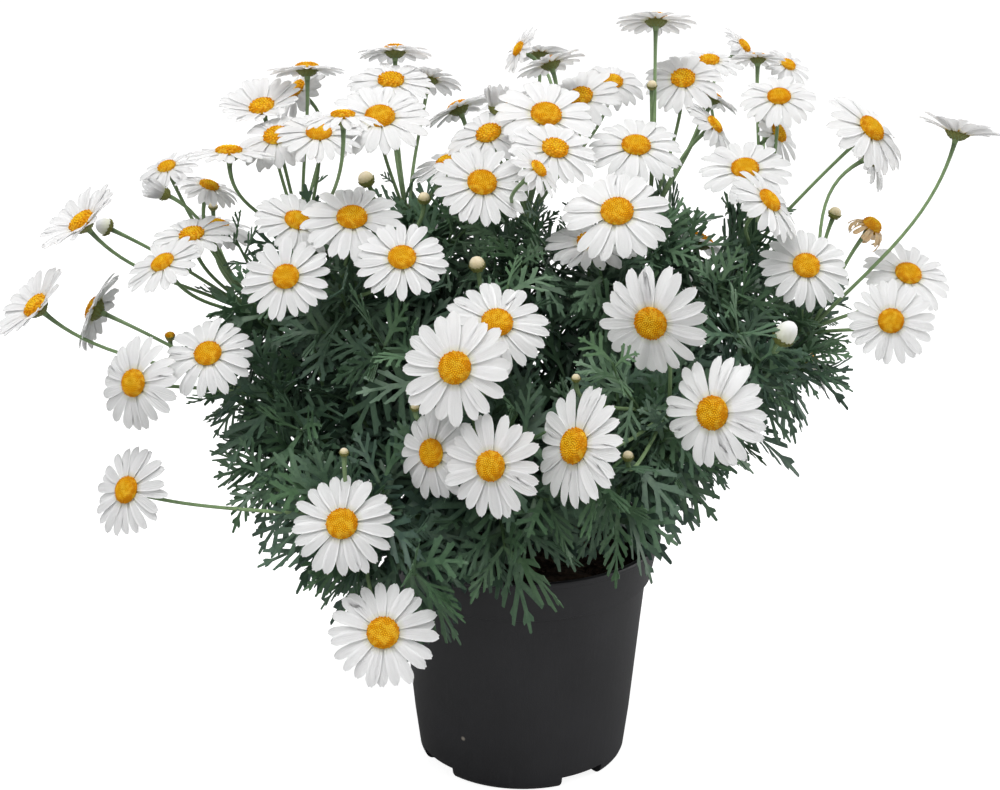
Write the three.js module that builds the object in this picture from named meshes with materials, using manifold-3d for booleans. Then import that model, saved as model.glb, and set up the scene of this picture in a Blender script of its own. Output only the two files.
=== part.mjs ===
// Potted marguerite daisy: a nursery pot, its soil, fourteen leafy stems and their sprays of blooms.
// Millimetres, +Z up. The origin is the middle of the pot's underside, and -Y is the side seen first.
import * as THREE from "three";
import { mergeVertices } from "three/addons/utils/BufferGeometryUtils.js";
import Module from "manifold-3d";

const wasm = await Module();
wasm.setup();

const GAP = 0.3;
const TURN = 2 * Math.PI;
const GOLDEN_ANGLE = Math.PI * (3 - Math.sqrt(5));
const DOWN = new THREE.Vector3(0, 0, -1);

// Where the photograph was taken from: it settles where each bloom that it shows stands.
const VIEW = { side: -12, distance: 913, height: 491, pitch: THREE.MathUtils.degToRad(17.6) };
const PICTURE = { width: 1000, height: 790, focal: 1841 };

// The pot, an injection-moulded one of 15 cm.
const POT = {
  height: 126,
  rimRadius: 73.5,
  lip: 1.4,
  lipHeight: 3,
  collarFoot: 104,
  collarFootRadius: 68.6,
  stepRadius: 66,
  baseRadius: 56,
  roundedEdge: 6,
  wall: 1.8,
  floor: 2.4,
  sides: 24,
};
// Four channels under the pot's edge, which let water out of a hole in the roof of each.
const CHANNEL = {
  count: 4,
  width: 26,
  height: 7,
  depth: 12,
  turn: -55,
  holeRadius: 3.6,
  holeSides: 6,
  // How far out its own walls go into the pot's, as a share of the pot's outer radius.
  within: 0.99,
};
const SOIL = { level: 111, crown: 3, holeDepth: 22 };

// A leafy stem: woody foot in the soil, green top, with short side shoots close round it.
const STEM = { footRadius: 2.7, topRadius: 2.1, sides: 5, slack: 0.42, crownLevel: 121, steps: 17 };
const FOOT_RING = { inner: 14, outer: 31 };
// How far along the stem its rings stand, and the share of full width that its side shoots have there.
const SHOOTS = {
  stations: [0, 0.2, 0.4, 0.6, 0.8, 1],
  widths: [0, 0.35, 0.9, 1, 0.75, 0],
  cut: 0.45,
  radius: 12,
  share: 0.45,
  clear: 3,
};

// A leaf: lobes in pairs, cut to the rib.
const LEAF = {
  length: 60,
  rib: 1.9,
  thickness: 1.5,
  lobePairs: 2,
  lobe: 0.235,
  fold: 0.22,
  perStem: 4,
  from: 0.3,
  pitch: { low: 0, high: 62 },
  droop: { low: 0.5, high: 0.12 },
  tries: 9,
  room: 0.7,
};

// A side twig, which leaves its stem some way behind its own end, and where its leaves stand.
const TWIG = {
  behind: 0.2,
  least: 0.22,
  most: 0.9,
  foot: 1.7,
  tip: 1.2,
  sides: 3,
  pieces: 3,
  slack: 0.36,
  // How much the way to its end counts where it leaves the stem, and how much it rises at that end.
  leaning: 0.8,
  rising: 0.15,
  leaves: [0.6, 0.95],
  leafLength: 46,
  tries: 5,
  shortest: 0.6,
};

// A bloom, in shares of its own width.
const BLOOM = {
  hub: 0.19,
  droop: 0.07,
  thickness: 2.4,
  large: { shoulder: 0.39, width: 0.165, sag: 0.035 },
  small: { shoulder: 0.47, width: 0.25, sag: 0.06 },
};
const DISC = { radius: 0.157, height: 0.082, sides: 7 };
const PETALS = { large: 10, small: 6 };
const STALK = { radius: 0.95, neck: 1.35, sides: 3, cup: 0.125, cupDepth: 0.1, long: 100 };
const BUD = { tip: 0.4, sides: 4 };
// The spray's woody neck, which its stalks leave one above the other, and how far they turn out of it.
const KNOT = { length: 16, radius: 2.9, sides: 4, low: 0.2, high: 0.8, turned: 0.7 };
const WITHERED = {
  sides: 7,
  neck: 0.3,
  profile: [
    [0, -0.35],
    [0.2, -0.62],
    [0.42, -0.3],
    [0.46, 0],
    [0.3, 0.24],
    [0, 0.3],
  ],
};

const FINISH = {
  pot: { color: 0x2d2d2f, roughness: 0.45 },
  soil: { color: 0x3a2a1f, roughness: 0.95 },
  leaf: { color: 0x37594b, roughness: 0.6 },
  petal: { color: 0xebebee, roughness: 0.6 },
  disc: { color: 0xe2a000, roughness: 0.8 },
};
const SEEDS = { blooms: 41, leaves: 97 };

// What the photograph shows. seenAt is the middle of the disc in its 1000 x 790 pixels, and ahead
// is how far in front of the pot's axis it stands, in millimetres. open is how far the disc is
// turned to the viewer, from 1, full face, to below 0, seen from behind, and lean is the way it
// leans in the picture, in degrees clockwise from up. across is the width over the petals, and
// long is a bud's length as a share of its width. twigs are the ends of a stem's side twigs.
const SPRAYS = [
  {
    name: "low_left",
    foot: FOOT_RING.outer,
    top: { seenAt: [368, 520], ahead: 80 },
    twigs: [
      { seenAt: [322, 490], ahead: 70 },
      { seenAt: [360, 566], ahead: 100 },
      { seenAt: [415, 575], ahead: 110 },
    ],
    blooms: [
      { seenAt: [383, 633], ahead: 130, across: 49, open: 0.97, lean: 0, disc: true },
      { seenAt: [342, 524], ahead: 112, across: 48, open: 0.95, lean: -20, disc: true },
      { seenAt: [127, 490], ahead: 70, across: 44, open: 0.7, lean: -68, disc: true },
    ],
    buds: [{ seenAt: [344, 452], ahead: 100, across: 4 }],
  },
  {
    name: "left",
    foot: FOOT_RING.outer,
    top: { seenAt: [280, 405], ahead: 15 },
    twigs: [
      { seenAt: [285, 458], ahead: 35 },
      { seenAt: [230, 403], ahead: 5 },
      { seenAt: [252, 476], ahead: 28 },
    ],
    blooms: [
      { seenAt: [134, 383], ahead: 60, across: 44, open: 0.77, lean: -80, disc: true },
      { seenAt: [208, 354], ahead: 50, across: 44, open: 0.8, lean: -20, disc: true },
      { seenAt: [36, 306], ahead: 20, across: 44, open: 0.42, lean: -45 },
      { seenAt: [94, 309], ahead: 0, across: 42, open: -0.2, lean: -62 },
    ],
    buds: [{ seenAt: [170, 336], ahead: -30, across: 5 }],
  },
  {
    name: "high_left",
    foot: FOOT_RING.outer,
    top: { seenAt: [275, 330], ahead: -30 },
    twigs: [
      { seenAt: [248, 350], ahead: -15 },
    ],
    blooms: [
      { seenAt: [82, 222], ahead: 0, across: 46, open: 0.42, lean: -35 },
      { seenAt: [163, 263], ahead: 20, across: 40, open: 0.58, lean: -25, disc: true },
      { seenAt: [192, 235], ahead: -20, across: 42, open: 0.45, lean: -10 },
      { seenAt: [217, 226], ahead: -75, across: 40, open: 0.4, lean: 10 },
      { seenAt: [167, 167], ahead: -60, across: 32, open: 0.45, lean: -20 },
      { seenAt: [209, 186], ahead: -50, across: 34, open: 0.35, lean: 20 },
    ],
    buds: [
      { seenAt: [104, 226], ahead: -30, across: 9, open: 0.2, lean: -62 },
      { seenAt: [158, 191], ahead: -45, across: 9.5, long: 1.5, open: 0.25, lean: -64 },
      { seenAt: [213, 206], ahead: -110, across: 5 },
    ],
  },
  {
    name: "upper_left",
    foot: FOOT_RING.outer,
    top: { seenAt: [318, 262], ahead: -55 },
    twigs: [
      { seenAt: [292, 262], ahead: -70 },
    ],
    blooms: [
      { seenAt: [229, 152], ahead: -30, across: 44, open: 0.12, lean: 0 },
      { seenAt: [262, 107], ahead: -75, across: 44, open: 0.6, lean: -10 },
      { seenAt: [276, 136], ahead: -45, across: 42, open: 0.62, lean: -15 },
      { seenAt: [297, 90], ahead: -110, across: 40, open: 0.35, lean: -50 },
      { seenAt: [307, 68], ahead: -85, across: 40, open: -0.12, lean: 0 },
      { seenAt: [319, 133], ahead: -25, across: 43, open: 0.54, lean: 0, disc: true },
      { seenAt: [343, 116], ahead: 22, across: 38, open: 0.1, lean: 0 },
    ],
    buds: [{ seenAt: [366, 179], ahead: -10, across: 8, open: 0.4, lean: -25 }],
  },
  {
    name: "mid_left",
    foot: FOOT_RING.inner,
    top: { seenAt: [352, 315], ahead: 0 },
    twigs: [
      { seenAt: [328, 268], ahead: -15 },
      { seenAt: [385, 345], ahead: 45 },
    ],
    blooms: [
      { seenAt: [297, 221], ahead: 5, across: 42, open: 0.65, lean: 20, disc: true },
      { seenAt: [286, 277], ahead: 50, across: 42, open: 0.88, lean: -20, disc: true },
      { seenAt: [352, 218], ahead: 25, across: 49, open: 0.7, lean: 0, disc: true },
      { seenAt: [402, 258], ahead: 50, across: 44, open: 0.8, lean: 0, disc: true },
    ],
    buds: [{ seenAt: [424, 198], ahead: 0, across: 6 }],
  },
  {
    name: "crest_left",
    foot: FOOT_RING.inner,
    top: { seenAt: [415, 242], ahead: -45 },
    twigs: [
      { seenAt: [372, 230], ahead: -60 },
      { seenAt: [440, 234], ahead: -35 },
    ],
    blooms: [
      { seenAt: [380, 117], ahead: -45, across: 51, open: 0.66, lean: 0, disc: true },
      { seenAt: [391, 81], ahead: -95, across: 46, open: 0.5, lean: 0 },
      { seenAt: [395, 50], ahead: -130, across: 40, open: -0.2, lean: 0 },
      { seenAt: [429, 78], ahead: -125, across: 36, open: -0.4, lean: 10 },
      { seenAt: [458, 107], ahead: -88, across: 38, open: -0.2, lean: -24 },
      { seenAt: [447, 162], ahead: -45, across: 38, open: 0.35, lean: -20 },
    ],
    buds: [],
  },
  {
    name: "crest",
    foot: FOOT_RING.inner,
    top: { seenAt: [528, 238], ahead: -35 },
    twigs: [
      { seenAt: [508, 224], ahead: -25 },
      { seenAt: [575, 250], ahead: -30 },
    ],
    blooms: [
      { seenAt: [482, 183], ahead: 5, across: 48, open: 0.8, lean: 10, disc: true },
      { seenAt: [489, 134], ahead: -45, across: 44, open: 0.6, lean: -20 },
      { seenAt: [546, 115], ahead: -35, across: 52, open: 0.68, lean: 10, disc: true },
      { seenAt: [555, 149], ahead: -5, across: 44, open: 0.62, lean: 15 },
      { seenAt: [538, 169], ahead: 35, across: 30, open: 0.4, lean: 80 },
      { seenAt: [508, 105], ahead: -105, across: 40, open: 0.3, lean: -20 },
      { seenAt: [519, 49], ahead: -110, across: 28, open: 0.3, lean: -60 },
      { seenAt: [540, 52], ahead: -145, across: 34, open: -0.3, lean: 0 },
      { seenAt: [550, 62], ahead: -80, across: 36, open: -0.25, lean: -18 },
      { seenAt: [581, 97], ahead: -85, across: 42, open: 0.7, lean: -15 },
      { seenAt: [613, 82], ahead: -110, across: 36, open: 0.6, lean: 10 },
    ],
    buds: [{ seenAt: [497, 101], ahead: -65, across: 11.5, long: 1.3, open: 0.15, lean: 0 }],
  },
  {
    name: "crest_right",
    foot: FOOT_RING.inner,
    top: { seenAt: [640, 245], ahead: -40 },
    twigs: [
      { seenAt: [700, 220], ahead: -60 },
      { seenAt: [622, 300], ahead: 10 },
    ],
    blooms: [
      { seenAt: [617, 212], ahead: 30, across: 52, open: 0.8, lean: 0, disc: true },
      { seenAt: [591, 242], ahead: 0, across: 46, open: 0.5, lean: 0 },
      { seenAt: [636, 146], ahead: -35, across: 49, open: 0.62, lean: 5, disc: true },
      { seenAt: [656, 19], ahead: -80, across: 40, open: -0.28, lean: 0 },
      { seenAt: [683, 79], ahead: -75, across: 42, open: 0.7, lean: 0 },
      { seenAt: [709, 61], ahead: -125, across: 38, open: 0.4, lean: 0 },
      { seenAt: [713, 97], ahead: -95, across: 30, open: -0.2, lean: 20 },
      { seenAt: [714, 125], ahead: -60, across: 34, open: 0.25, lean: 50 },
    ],
    buds: [{ seenAt: [652, 85], ahead: -60, across: 5 }],
  },
  {
    name: "upper_right",
    foot: FOOT_RING.outer,
    top: { seenAt: [742, 262], ahead: -35 },
    twigs: [
      { seenAt: [735, 222], ahead: -70 },
      { seenAt: [776, 310], ahead: -10 },
    ],
    blooms: [
      { seenAt: [745, 169], ahead: -20, across: 46, open: 0.66, lean: 0, disc: true },
      { seenAt: [769, 201], ahead: 15, across: 42, open: 0.42, lean: 47, disc: true },
      { seenAt: [778, 133], ahead: -75, across: 36, open: 0.4, lean: 60 },
      { seenAt: [779, 97], ahead: -60, across: 40, open: 0.62, lean: 0, disc: true },
      { seenAt: [744, 46], ahead: -152, across: 28, open: 0.3, lean: 50 },
      { seenAt: [758, 57], ahead: -100, across: 28, open: -0.25, lean: 0 },
      { seenAt: [788, 65], ahead: -115, across: 28, open: 0.5, lean: 30 },
      { seenAt: [871, 129], ahead: -20, across: 48, open: 0.48, lean: 45, disc: true },
    ],
    buds: [],
  },
  {
    name: "right",
    foot: FOOT_RING.outer,
    top: { seenAt: [790, 345], ahead: 0 },
    twigs: [
      { seenAt: [816, 352], ahead: 10 },
      { seenAt: [768, 393], ahead: 25 },
      { seenAt: [832, 296], ahead: -25 },
    ],
    blooms: [
      { seenAt: [806, 266], ahead: 20, across: 44, open: 0.85, lean: 20, disc: true },
      { seenAt: [872, 156], ahead: -65, across: 38, open: -0.15, lean: 60 },
      { seenAt: [958, 131], ahead: -30, across: 40, open: -0.12, lean: 8 },
      { seenAt: [870, 228], ahead: -10, across: 19, open: 0.25, lean: 35, withered: true },
      { seenAt: [908, 274], ahead: -15, across: 45, open: 0.7, lean: 20, disc: true },
      { seenAt: [891, 321], ahead: 30, across: 41, open: 0.97, lean: 0, disc: true },
    ],
    buds: [
      { seenAt: [835, 213], ahead: -40, across: 6.5, open: 0.3, lean: 20 },
      { seenAt: [786, 333], ahead: 55, across: 10.8, long: 1.25, open: 0.45, lean: 35 },
    ],
  },
  {
    name: "front_right",
    foot: FOOT_RING.outer,
    top: { seenAt: [655, 425], ahead: 50 },
    twigs: [
      { seenAt: [682, 470], ahead: 62 },
      { seenAt: [622, 520], ahead: 90 },
      { seenAt: [728, 432], ahead: 45 },
    ],
    blooms: [
      { seenAt: [651, 323], ahead: 85, across: 51, open: 0.9, lean: -135, disc: true },
      { seenAt: [713, 413], ahead: 100, across: 52, open: 0.88, lean: -90, disc: true },
      { seenAt: [575, 446], ahead: 110, across: 55, open: 0.66, lean: -80, disc: true },
    ],
    buds: [
      { seenAt: [628, 456], ahead: 100, across: 5 },
      { seenAt: [576, 378], ahead: 85, across: 4 },
    ],
  },
  {
    name: "front",
    foot: FOOT_RING.inner,
    top: { seenAt: [482, 445], ahead: 62 },
    twigs: [
      { seenAt: [505, 548], ahead: 92 },
      { seenAt: [548, 500], ahead: 85 },
    ],
    blooms: [
      { seenAt: [497, 323], ahead: 70, across: 49, open: 0.82, lean: 10, disc: true },
      { seenAt: [455, 368], ahead: 105, across: 50, open: 0.95, lean: -60, disc: true },
      { seenAt: [432, 453], ahead: 100, across: 44, open: 0.77, lean: -90, disc: true },
      { seenAt: [491, 466], ahead: 122, across: 46, open: 0.91, lean: -92, disc: true },
    ],
    buds: [
      { seenAt: [477, 264], ahead: 40, across: 7.6, open: 0.6, lean: -10 },
      { seenAt: [415, 407], ahead: 85, across: 4 },
    ],
  },
];

// The side that the photograph doesn't show: two more stems, with blooms spread over its dome.
const BACK_SPRAYS = [
  {
    name: "back_left",
    foot: FOOT_RING.outer,
    top: [-62, 78, 208],
    twigs: [[-105, 70, 168], [-45, 105, 168], [-20, 70, 218]],
    from: 98,
    to: 158,
  },
  {
    name: "back_right",
    foot: FOOT_RING.outer,
    top: [66, 74, 208],
    twigs: [[110, 62, 168], [50, 105, 168], [25, 72, 218]],
    from: 8,
    to: 80,
  },
];
const BACK_DOME = { centre: [-5, 20, 168], radius: [175, 150, 135] };
const BACK_BLOOMS = { count: 5, low: 0.05, high: 0.8, across: 44, spread: 6 };

// How slack a stalk may be between its knot and its bloom, the plainest first.
const STALK_SLACKS = [0.36, 0.26, 0.48, 0.16, 0.6];

// A repeatable draw from 0 to 1.
function seededDraw(seed) {
  let state = seed >>> 0;
  return () => {
    state = (state + 0x6d2b79f5) >>> 0;
    let t = Math.imul(state ^ (state >>> 15), 1 | state);
    t = (t + Math.imul(t ^ (t >>> 7), 61 | t)) ^ t;
    return ((t ^ (t >>> 14)) >>> 0) / 4294967296;
  };
}

// Solids

function meshGeometry(points, triangles) {
  const geometry = new THREE.BufferGeometry();
  const positions = points.flatMap((point) => [point.x, point.y, point.z]);
  geometry.setAttribute("position", new THREE.Float32BufferAttribute(positions, 3));
  geometry.setIndex(triangles.flat());
  return geometry;
}

// A closed mesh as a solid: corners merged, flat triangles dropped, faces turned out.
function toSolid(geometry) {
  const bare = geometry.clone();
  bare.deleteAttribute("normal");
  bare.deleteAttribute("uv");
  const merged = mergeVertices(bare, 1e-4);
  const corner = (index) => new THREE.Vector3().fromBufferAttribute(merged.attributes.position, index);
  const triangles = [];
  let volume = 0;
  for (let i = 0; i < merged.index.count; i += 3) {
    const [a, b, c] = [0, 1, 2].map((step) => merged.index.getX(i + step));
    if (a !== b && b !== c && c !== a) {
      triangles.push([a, b, c]);
      volume += corner(a).dot(corner(b).cross(corner(c)));
    }
  }
  const turned = volume < 0 ? triangles.map(([a, b, c]) => [a, c, b]) : triangles;
  const vertProperties = new Float32Array(merged.attributes.position.array);
  const triVerts = new Uint32Array(turned.flat());
  return new wasm.Manifold(new wasm.Mesh({ numProp: 3, vertProperties, triVerts }));
}

function toGeometry(solid) {
  const { vertProperties, triVerts, numProp } = solid.getMesh();
  const positions = new Float32Array((vertProperties.length / numProp) * 3);
  for (let i = 0; i < positions.length; i += 1) {
    positions[i] = vertProperties[numProp * Math.floor(i / 3) + (i % 3)];
  }
  const geometry = new THREE.BufferGeometry();
  geometry.setAttribute("position", new THREE.BufferAttribute(positions, 3));
  geometry.setIndex(new THREE.BufferAttribute(new Uint32Array(triVerts), 1));
  return geometry;
}

// Solids as one, with any pocket that closes between them filled.
function joined(solids) {
  const whole = solids.reduce((before, solid) => before.add(solid));
  return wasm.Manifold.compose(whole.decompose().filter((part) => part.volume() > 0));
}

const crosses = (a, b) => a.intersect(b).getMesh().triVerts.length > 0;

function perpendicular(direction) {
  const steep = Math.abs(direction.z) > 0.8 * direction.length();
  const helper = steep ? new THREE.Vector3(1, 0, 0) : new THREE.Vector3(0, 0, 1);
  return helper.cross(direction).normalize();
}

// Adds a tube along points, with a radius at each, to a mesh. It starts on a ring of corners that
// the mesh has already, or on a flat end of its own. cuts draw every other corner of a ring in.
function addTube(mesh, points, radii, sides, side, start = null, cuts = []) {
  const { vertices, triangles } = mesh;
  const last = points.length - 1;
  let across = side;
  let ring = start;
  const rings = points.map((centre, i) => {
    const along = points[Math.min(i + 1, last)].clone().sub(points[Math.max(i - 1, 0)]).normalize();
    across = across.clone().addScaledVector(along, -across.dot(along)).normalize();
    const other = along.clone().cross(across);
    return Array.from({ length: sides }, (_, k) => {
      const angle = (TURN * k) / sides;
      const radius = radii[i] * (1 - (cuts[i] ?? 0) * ((i + k) % 2));
      const reach = across.clone().multiplyScalar(radius * Math.cos(angle));
      return vertices.push(reach.addScaledVector(other, radius * Math.sin(angle)).add(centre)) - 1;
    });
  });
  if (start === null) {
    ring = rings.shift();
    for (let k = 1; k < sides - 1; k += 1) {
      triangles.push([ring[0], ring[k + 1], ring[k]]);
    }
  }
  rings.forEach((next) => {
    for (let k = 0; k < sides; k += 1) {
      const other = (k + 1) % sides;
      triangles.push([ring[k], ring[other], next[other]], [ring[k], next[other], next[k]]);
    }
    ring = next;
  });
  for (let k = 1; k < sides - 1; k += 1) {
    triangles.push([ring[0], ring[k], ring[k + 1]]);
  }
}

function tube(points, radii, sides, cuts = []) {
  const mesh = { vertices: [], triangles: [] };
  addTube(mesh, points, radii, sides, perpendicular(points[1].clone().sub(points[0])), null, cuts);
  return meshGeometry(mesh.vertices, mesh.triangles);
}

function lathe(profile, sides) {
  const points = profile.map(([radius, level]) => new THREE.Vector2(radius, level));
  return new THREE.LatheGeometry(points, sides).rotateX(Math.PI / 2);
}

// A curve that leaves start along leaving and meets end along arriving.
function bowed(start, leaving, end, arriving, slack) {
  const reach = start.distanceTo(end) * slack;
  const first = start.clone().addScaledVector(leaving, reach);
  const second = end.clone().addScaledVector(arriving, -reach);
  return new THREE.CubicBezierCurve3(start, first, second, end);
}

// Places and directions

function seenPoint([across, down], ahead) {
  const right = (across - PICTURE.width / 2) / PICTURE.focal;
  const up = (PICTURE.height / 2 - down) / PICTURE.focal;
  const away = Math.cos(VIEW.pitch) + up * Math.sin(VIEW.pitch);
  const rise = up * Math.cos(VIEW.pitch) - Math.sin(VIEW.pitch);
  const travel = (VIEW.distance - ahead) / away;
  return new THREE.Vector3(VIEW.side + right * travel, -ahead, VIEW.height + rise * travel);
}

function facingOf(place, open, leanDegrees) {
  const toEye = new THREE.Vector3(VIEW.side, -VIEW.distance, VIEW.height).sub(place).normalize();
  const right = new THREE.Vector3(0, 0, 1).cross(toEye).normalize();
  const up = toEye.clone().cross(right);
  const lean = THREE.MathUtils.degToRad(leanDegrees);
  const tilt = Math.sqrt(1 - open * open);
  const sideways = up.multiplyScalar(Math.cos(lean)).addScaledVector(right, Math.sin(lean));
  return toEye.multiplyScalar(open).addScaledVector(sideways, tilt).normalize();
}

// The pot and its soil

const COLLAR_INSIDE = [POT.collarFoot - 2, POT.collarFoot + 2.5];
const POT_INNER = [
  [POT.baseRadius - POT.roundedEdge, POT.floor],
  [POT.baseRadius - POT.wall, POT.roundedEdge + POT.floor / 2],
  [POT.stepRadius - POT.wall, COLLAR_INSIDE[0]],
  [POT.collarFootRadius - POT.wall, COLLAR_INSIDE[1]],
  [POT.rimRadius - POT.lip - POT.wall, POT.height],
];

function innerRadius(level) {
  const upper = POT_INNER.findIndex(([, height]) => height >= level);
  const [lowRadius, low] = POT_INNER[Math.max(upper - 1, 0)];
  const [highRadius, high] = POT_INNER[upper];
  return high === low ? lowRadius : THREE.MathUtils.mapLinear(level, low, high, lowRadius, highRadius);
}

function potSolid() {
  const lipFoot = POT.height - POT.lipHeight;
  const bevel = POT.roundedEdge * (1 - Math.SQRT1_2);
  const outer = [
    [0, 0],
    [POT.baseRadius - POT.roundedEdge, 0],
    [POT.baseRadius - bevel, bevel],
    [POT.baseRadius, POT.roundedEdge],
    [POT.stepRadius, POT.collarFoot - 1],
    [POT.collarFootRadius, POT.collarFoot],
    [POT.rimRadius - POT.lip, lipFoot],
    [POT.rimRadius, lipFoot + 0.6],
    [POT.rimRadius, POT.height],
  ];
  let pot = toSolid(lathe([...outer, ...POT_INNER.toReversed(), [0, POT.floor]], POT.sides));
  // The channels' own walls end inside the pot's.
  const whole = lathe([...outer, [0, POT.height]], POT.sides);
  const inside = toSolid(whole.scale(CHANNEL.within, CHANNEL.within, 1));
  const { width, height, depth, holeRadius, holeSides } = CHANNEL;
  for (let k = 0; k < CHANNEL.count; k += 1) {
    const azimuth = THREE.MathUtils.degToRad(CHANNEL.turn - 90) + (TURN * k) / CHANNEL.count;
    const back = POT.baseRadius - depth;
    const roof = new THREE.BoxGeometry(depth + 1, width + 2 * POT.wall, height + POT.wall - 0.5);
    roof.translate(back - POT.wall + (depth + 1) / 2, 0, (height + POT.wall + 0.5) / 2);
    const room = new THREE.BoxGeometry(2 * depth, width, 2 * height).translate(back + depth, 0, 0);
    const hole = new THREE.CylinderGeometry(holeRadius, holeRadius, 4 * height, holeSides);
    hole.rotateX(Math.PI / 2).translate(back + depth / 2 - 0.6, 0, height);
    [roof, room, hole].forEach((shape) => shape.rotateZ(azimuth));
    pot = pot.add(toSolid(roof).intersect(inside)).subtract(toSolid(room)).subtract(toSolid(hole));
  }
  return pot;
}

function soilSolid(feet) {
  const foot = CHANNEL.height + POT.wall + GAP;
  const levels = [foot, ...COLLAR_INSIDE, SOIL.level];
  const profile = [[0, foot], ...levels.map((level) => [innerRadius(level) - GAP, level])];
  profile.push([innerRadius(SOIL.level) * 0.55, SOIL.level + SOIL.crown], [0, SOIL.level + SOIL.crown]);
  const holes = feet.map((place) => {
    const bottom = place.clone().setZ(SOIL.level + SOIL.crown - SOIL.holeDepth);
    const top = place.clone().setZ(SOIL.level + SOIL.crown + 2);
    const radius = STEM.footRadius + GAP / Math.cos(Math.PI / STEM.sides);
    return toSolid(tube([bottom, top], [radius, radius], STEM.sides));
  });
  return holes.reduce((soil, hole) => soil.subtract(hole), toSolid(lathe(profile, POT.sides)));
}

// Blooms

// A stalk's points, from the neck under a head to the spray's own neck.
function stalkPoints(item, neck, direction, slack) {
  const down = item.root.clone().sub(neck);
  const pieces = down.length() > STALK.long ? 3 : 2;
  const arriving = down.normalize().lerp(direction.clone().negate(), 1 - KNOT.turned);
  return bowed(neck, item.faces.clone().negate(), item.root, arriving, slack).getPoints(pieces);
}

// The white petals as one ring round the bloom's place, with the stalk growing out of its back.
// A ring with no disc of its own rises to one in the middle.
function bloomGeometry(bloom, direction, slack) {
  const { across, place, faces } = bloom;
  const large = Boolean(bloom.disc);
  const petals = large ? PETALS.large : PETALS.small;
  const first = perpendicular(faces);
  const second = faces.clone().cross(first);
  const mesh = { vertices: [], triangles: [] };
  const add = (radius, angle, level) => {
    const out = first.clone().multiplyScalar(radius * Math.cos(angle));
    out.addScaledVector(second, radius * Math.sin(angle)).addScaledVector(faces, level);
    return mesh.vertices.push(out.add(place)) - 1;
  };
  const shape = large ? BLOOM.large : BLOOM.small;
  const step = TURN / petals;
  const half = Math.atan2(shape.width / 2, shape.shoulder);
  const ring = Array.from({ length: petals }, (_, i) => {
    const middle = (i + 0.5) * step;
    const level = -shape.sag * across;
    return {
      valley: add(BLOOM.hub * across, i * step, 0),
      left: add(shape.shoulder * across, middle - half, level),
      tip: large ? add(across / 2, middle, -BLOOM.droop * across) : null,
      right: add(shape.shoulder * across, middle + half, level),
      back: Math.round((middle * STALK.sides) / TURN) % STALK.sides,
    };
  });
  const top = add(0, 0, large ? 0 : DISC.height * across);
  const cup = Array.from({ length: STALK.sides }, (_, k) =>
    add(STALK.cup * across, (-TURN * k) / STALK.sides, -BLOOM.thickness),
  );
  const back = (k) => cup[(STALK.sides - k) % STALK.sides];
  ring.forEach((petal, i) => {
    const next = ring[(i + 1) % petals];
    const edge = large ? [petal.left, petal.tip, petal.right] : [petal.left, petal.right];
    const outline = [petal.valley, ...edge, next.valley];
    for (let k = 0; k < outline.length - 1; k += 1) {
      mesh.triangles.push([outline[k + 1], outline[k], back(petal.back)]);
    }
    for (let k = 1; k < outline.length - 1; k += 1) {
      mesh.triangles.push([outline[0], outline[k], outline[k + 1]]);
    }
    if (next.back !== petal.back) {
      mesh.triangles.push([next.valley, back(petal.back), back(next.back)]);
    }
    mesh.triangles.push([petal.valley, next.valley, top]);
  });
  const neck = place.clone().addScaledVector(faces, -BLOOM.thickness - STALK.cupDepth * across);
  const points = stalkPoints(bloom, neck, direction, slack);
  addTube(mesh, points, points.map((_, k) => (k ? STALK.radius : STALK.neck)), STALK.sides, first, cup);
  return meshGeometry(mesh.vertices, mesh.triangles);
}

function discGeometry(bloom) {
  const radius = DISC.radius * bloom.across;
  const height = DISC.height * bloom.across;
  const profile = [
    [0, GAP],
    [radius, GAP],
    [radius * 0.78, height * 0.72],
    [0, height],
  ];
  return placedOn(lathe(profile, DISC.sides), bloom);
}

// A bloom's own frame: +Z the way it faces.
function placedOn(geometry, bloom) {
  const turn = new THREE.Quaternion().setFromUnitVectors(new THREE.Vector3(0, 0, 1), bloom.faces);
  return geometry.applyQuaternion(turn).translate(bloom.place.x, bloom.place.y, bloom.place.z);
}

// A withered head: a bare dome with a skirt of shrivelled petals folded down round its stalk.
function witheredSolid(bloom, direction, slack) {
  const profile = WITHERED.profile.map((corner) => corner.map((share) => share * bloom.across));
  const head = toSolid(placedOn(lathe(profile, WITHERED.sides), bloom));
  const neck = bloom.place.clone().addScaledVector(bloom.faces, -WITHERED.neck * bloom.across);
  const points = stalkPoints(bloom, neck, direction, slack);
  return head.add(toSolid(tube(points, points.map(() => STALK.radius), STALK.sides)));
}

// A bud on its stalk: the stalk's last rings swell and close.
function budSolid(bud, direction, slack) {
  const radius = bud.across / 2;
  const reach = radius * (bud.long ?? 1);
  const foot = bud.place.clone().addScaledVector(bud.faces, -reach);
  const tip = bud.place.clone().addScaledVector(bud.faces, reach);
  const stalk = stalkPoints(bud, foot, direction, slack);
  const radii = [radius * BUD.tip, radius, ...stalk.map(() => STALK.radius)];
  return toSolid(tube([tip, bud.place, ...stalk], radii, BUD.sides));
}

function bloomSolid(bloom, direction, slack) {
  if (bloom.withered) {
    return witheredSolid(bloom, direction, slack);
  }
  return toSolid(bloomGeometry(bloom, direction, slack));
}

// Stems and leaves

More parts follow.
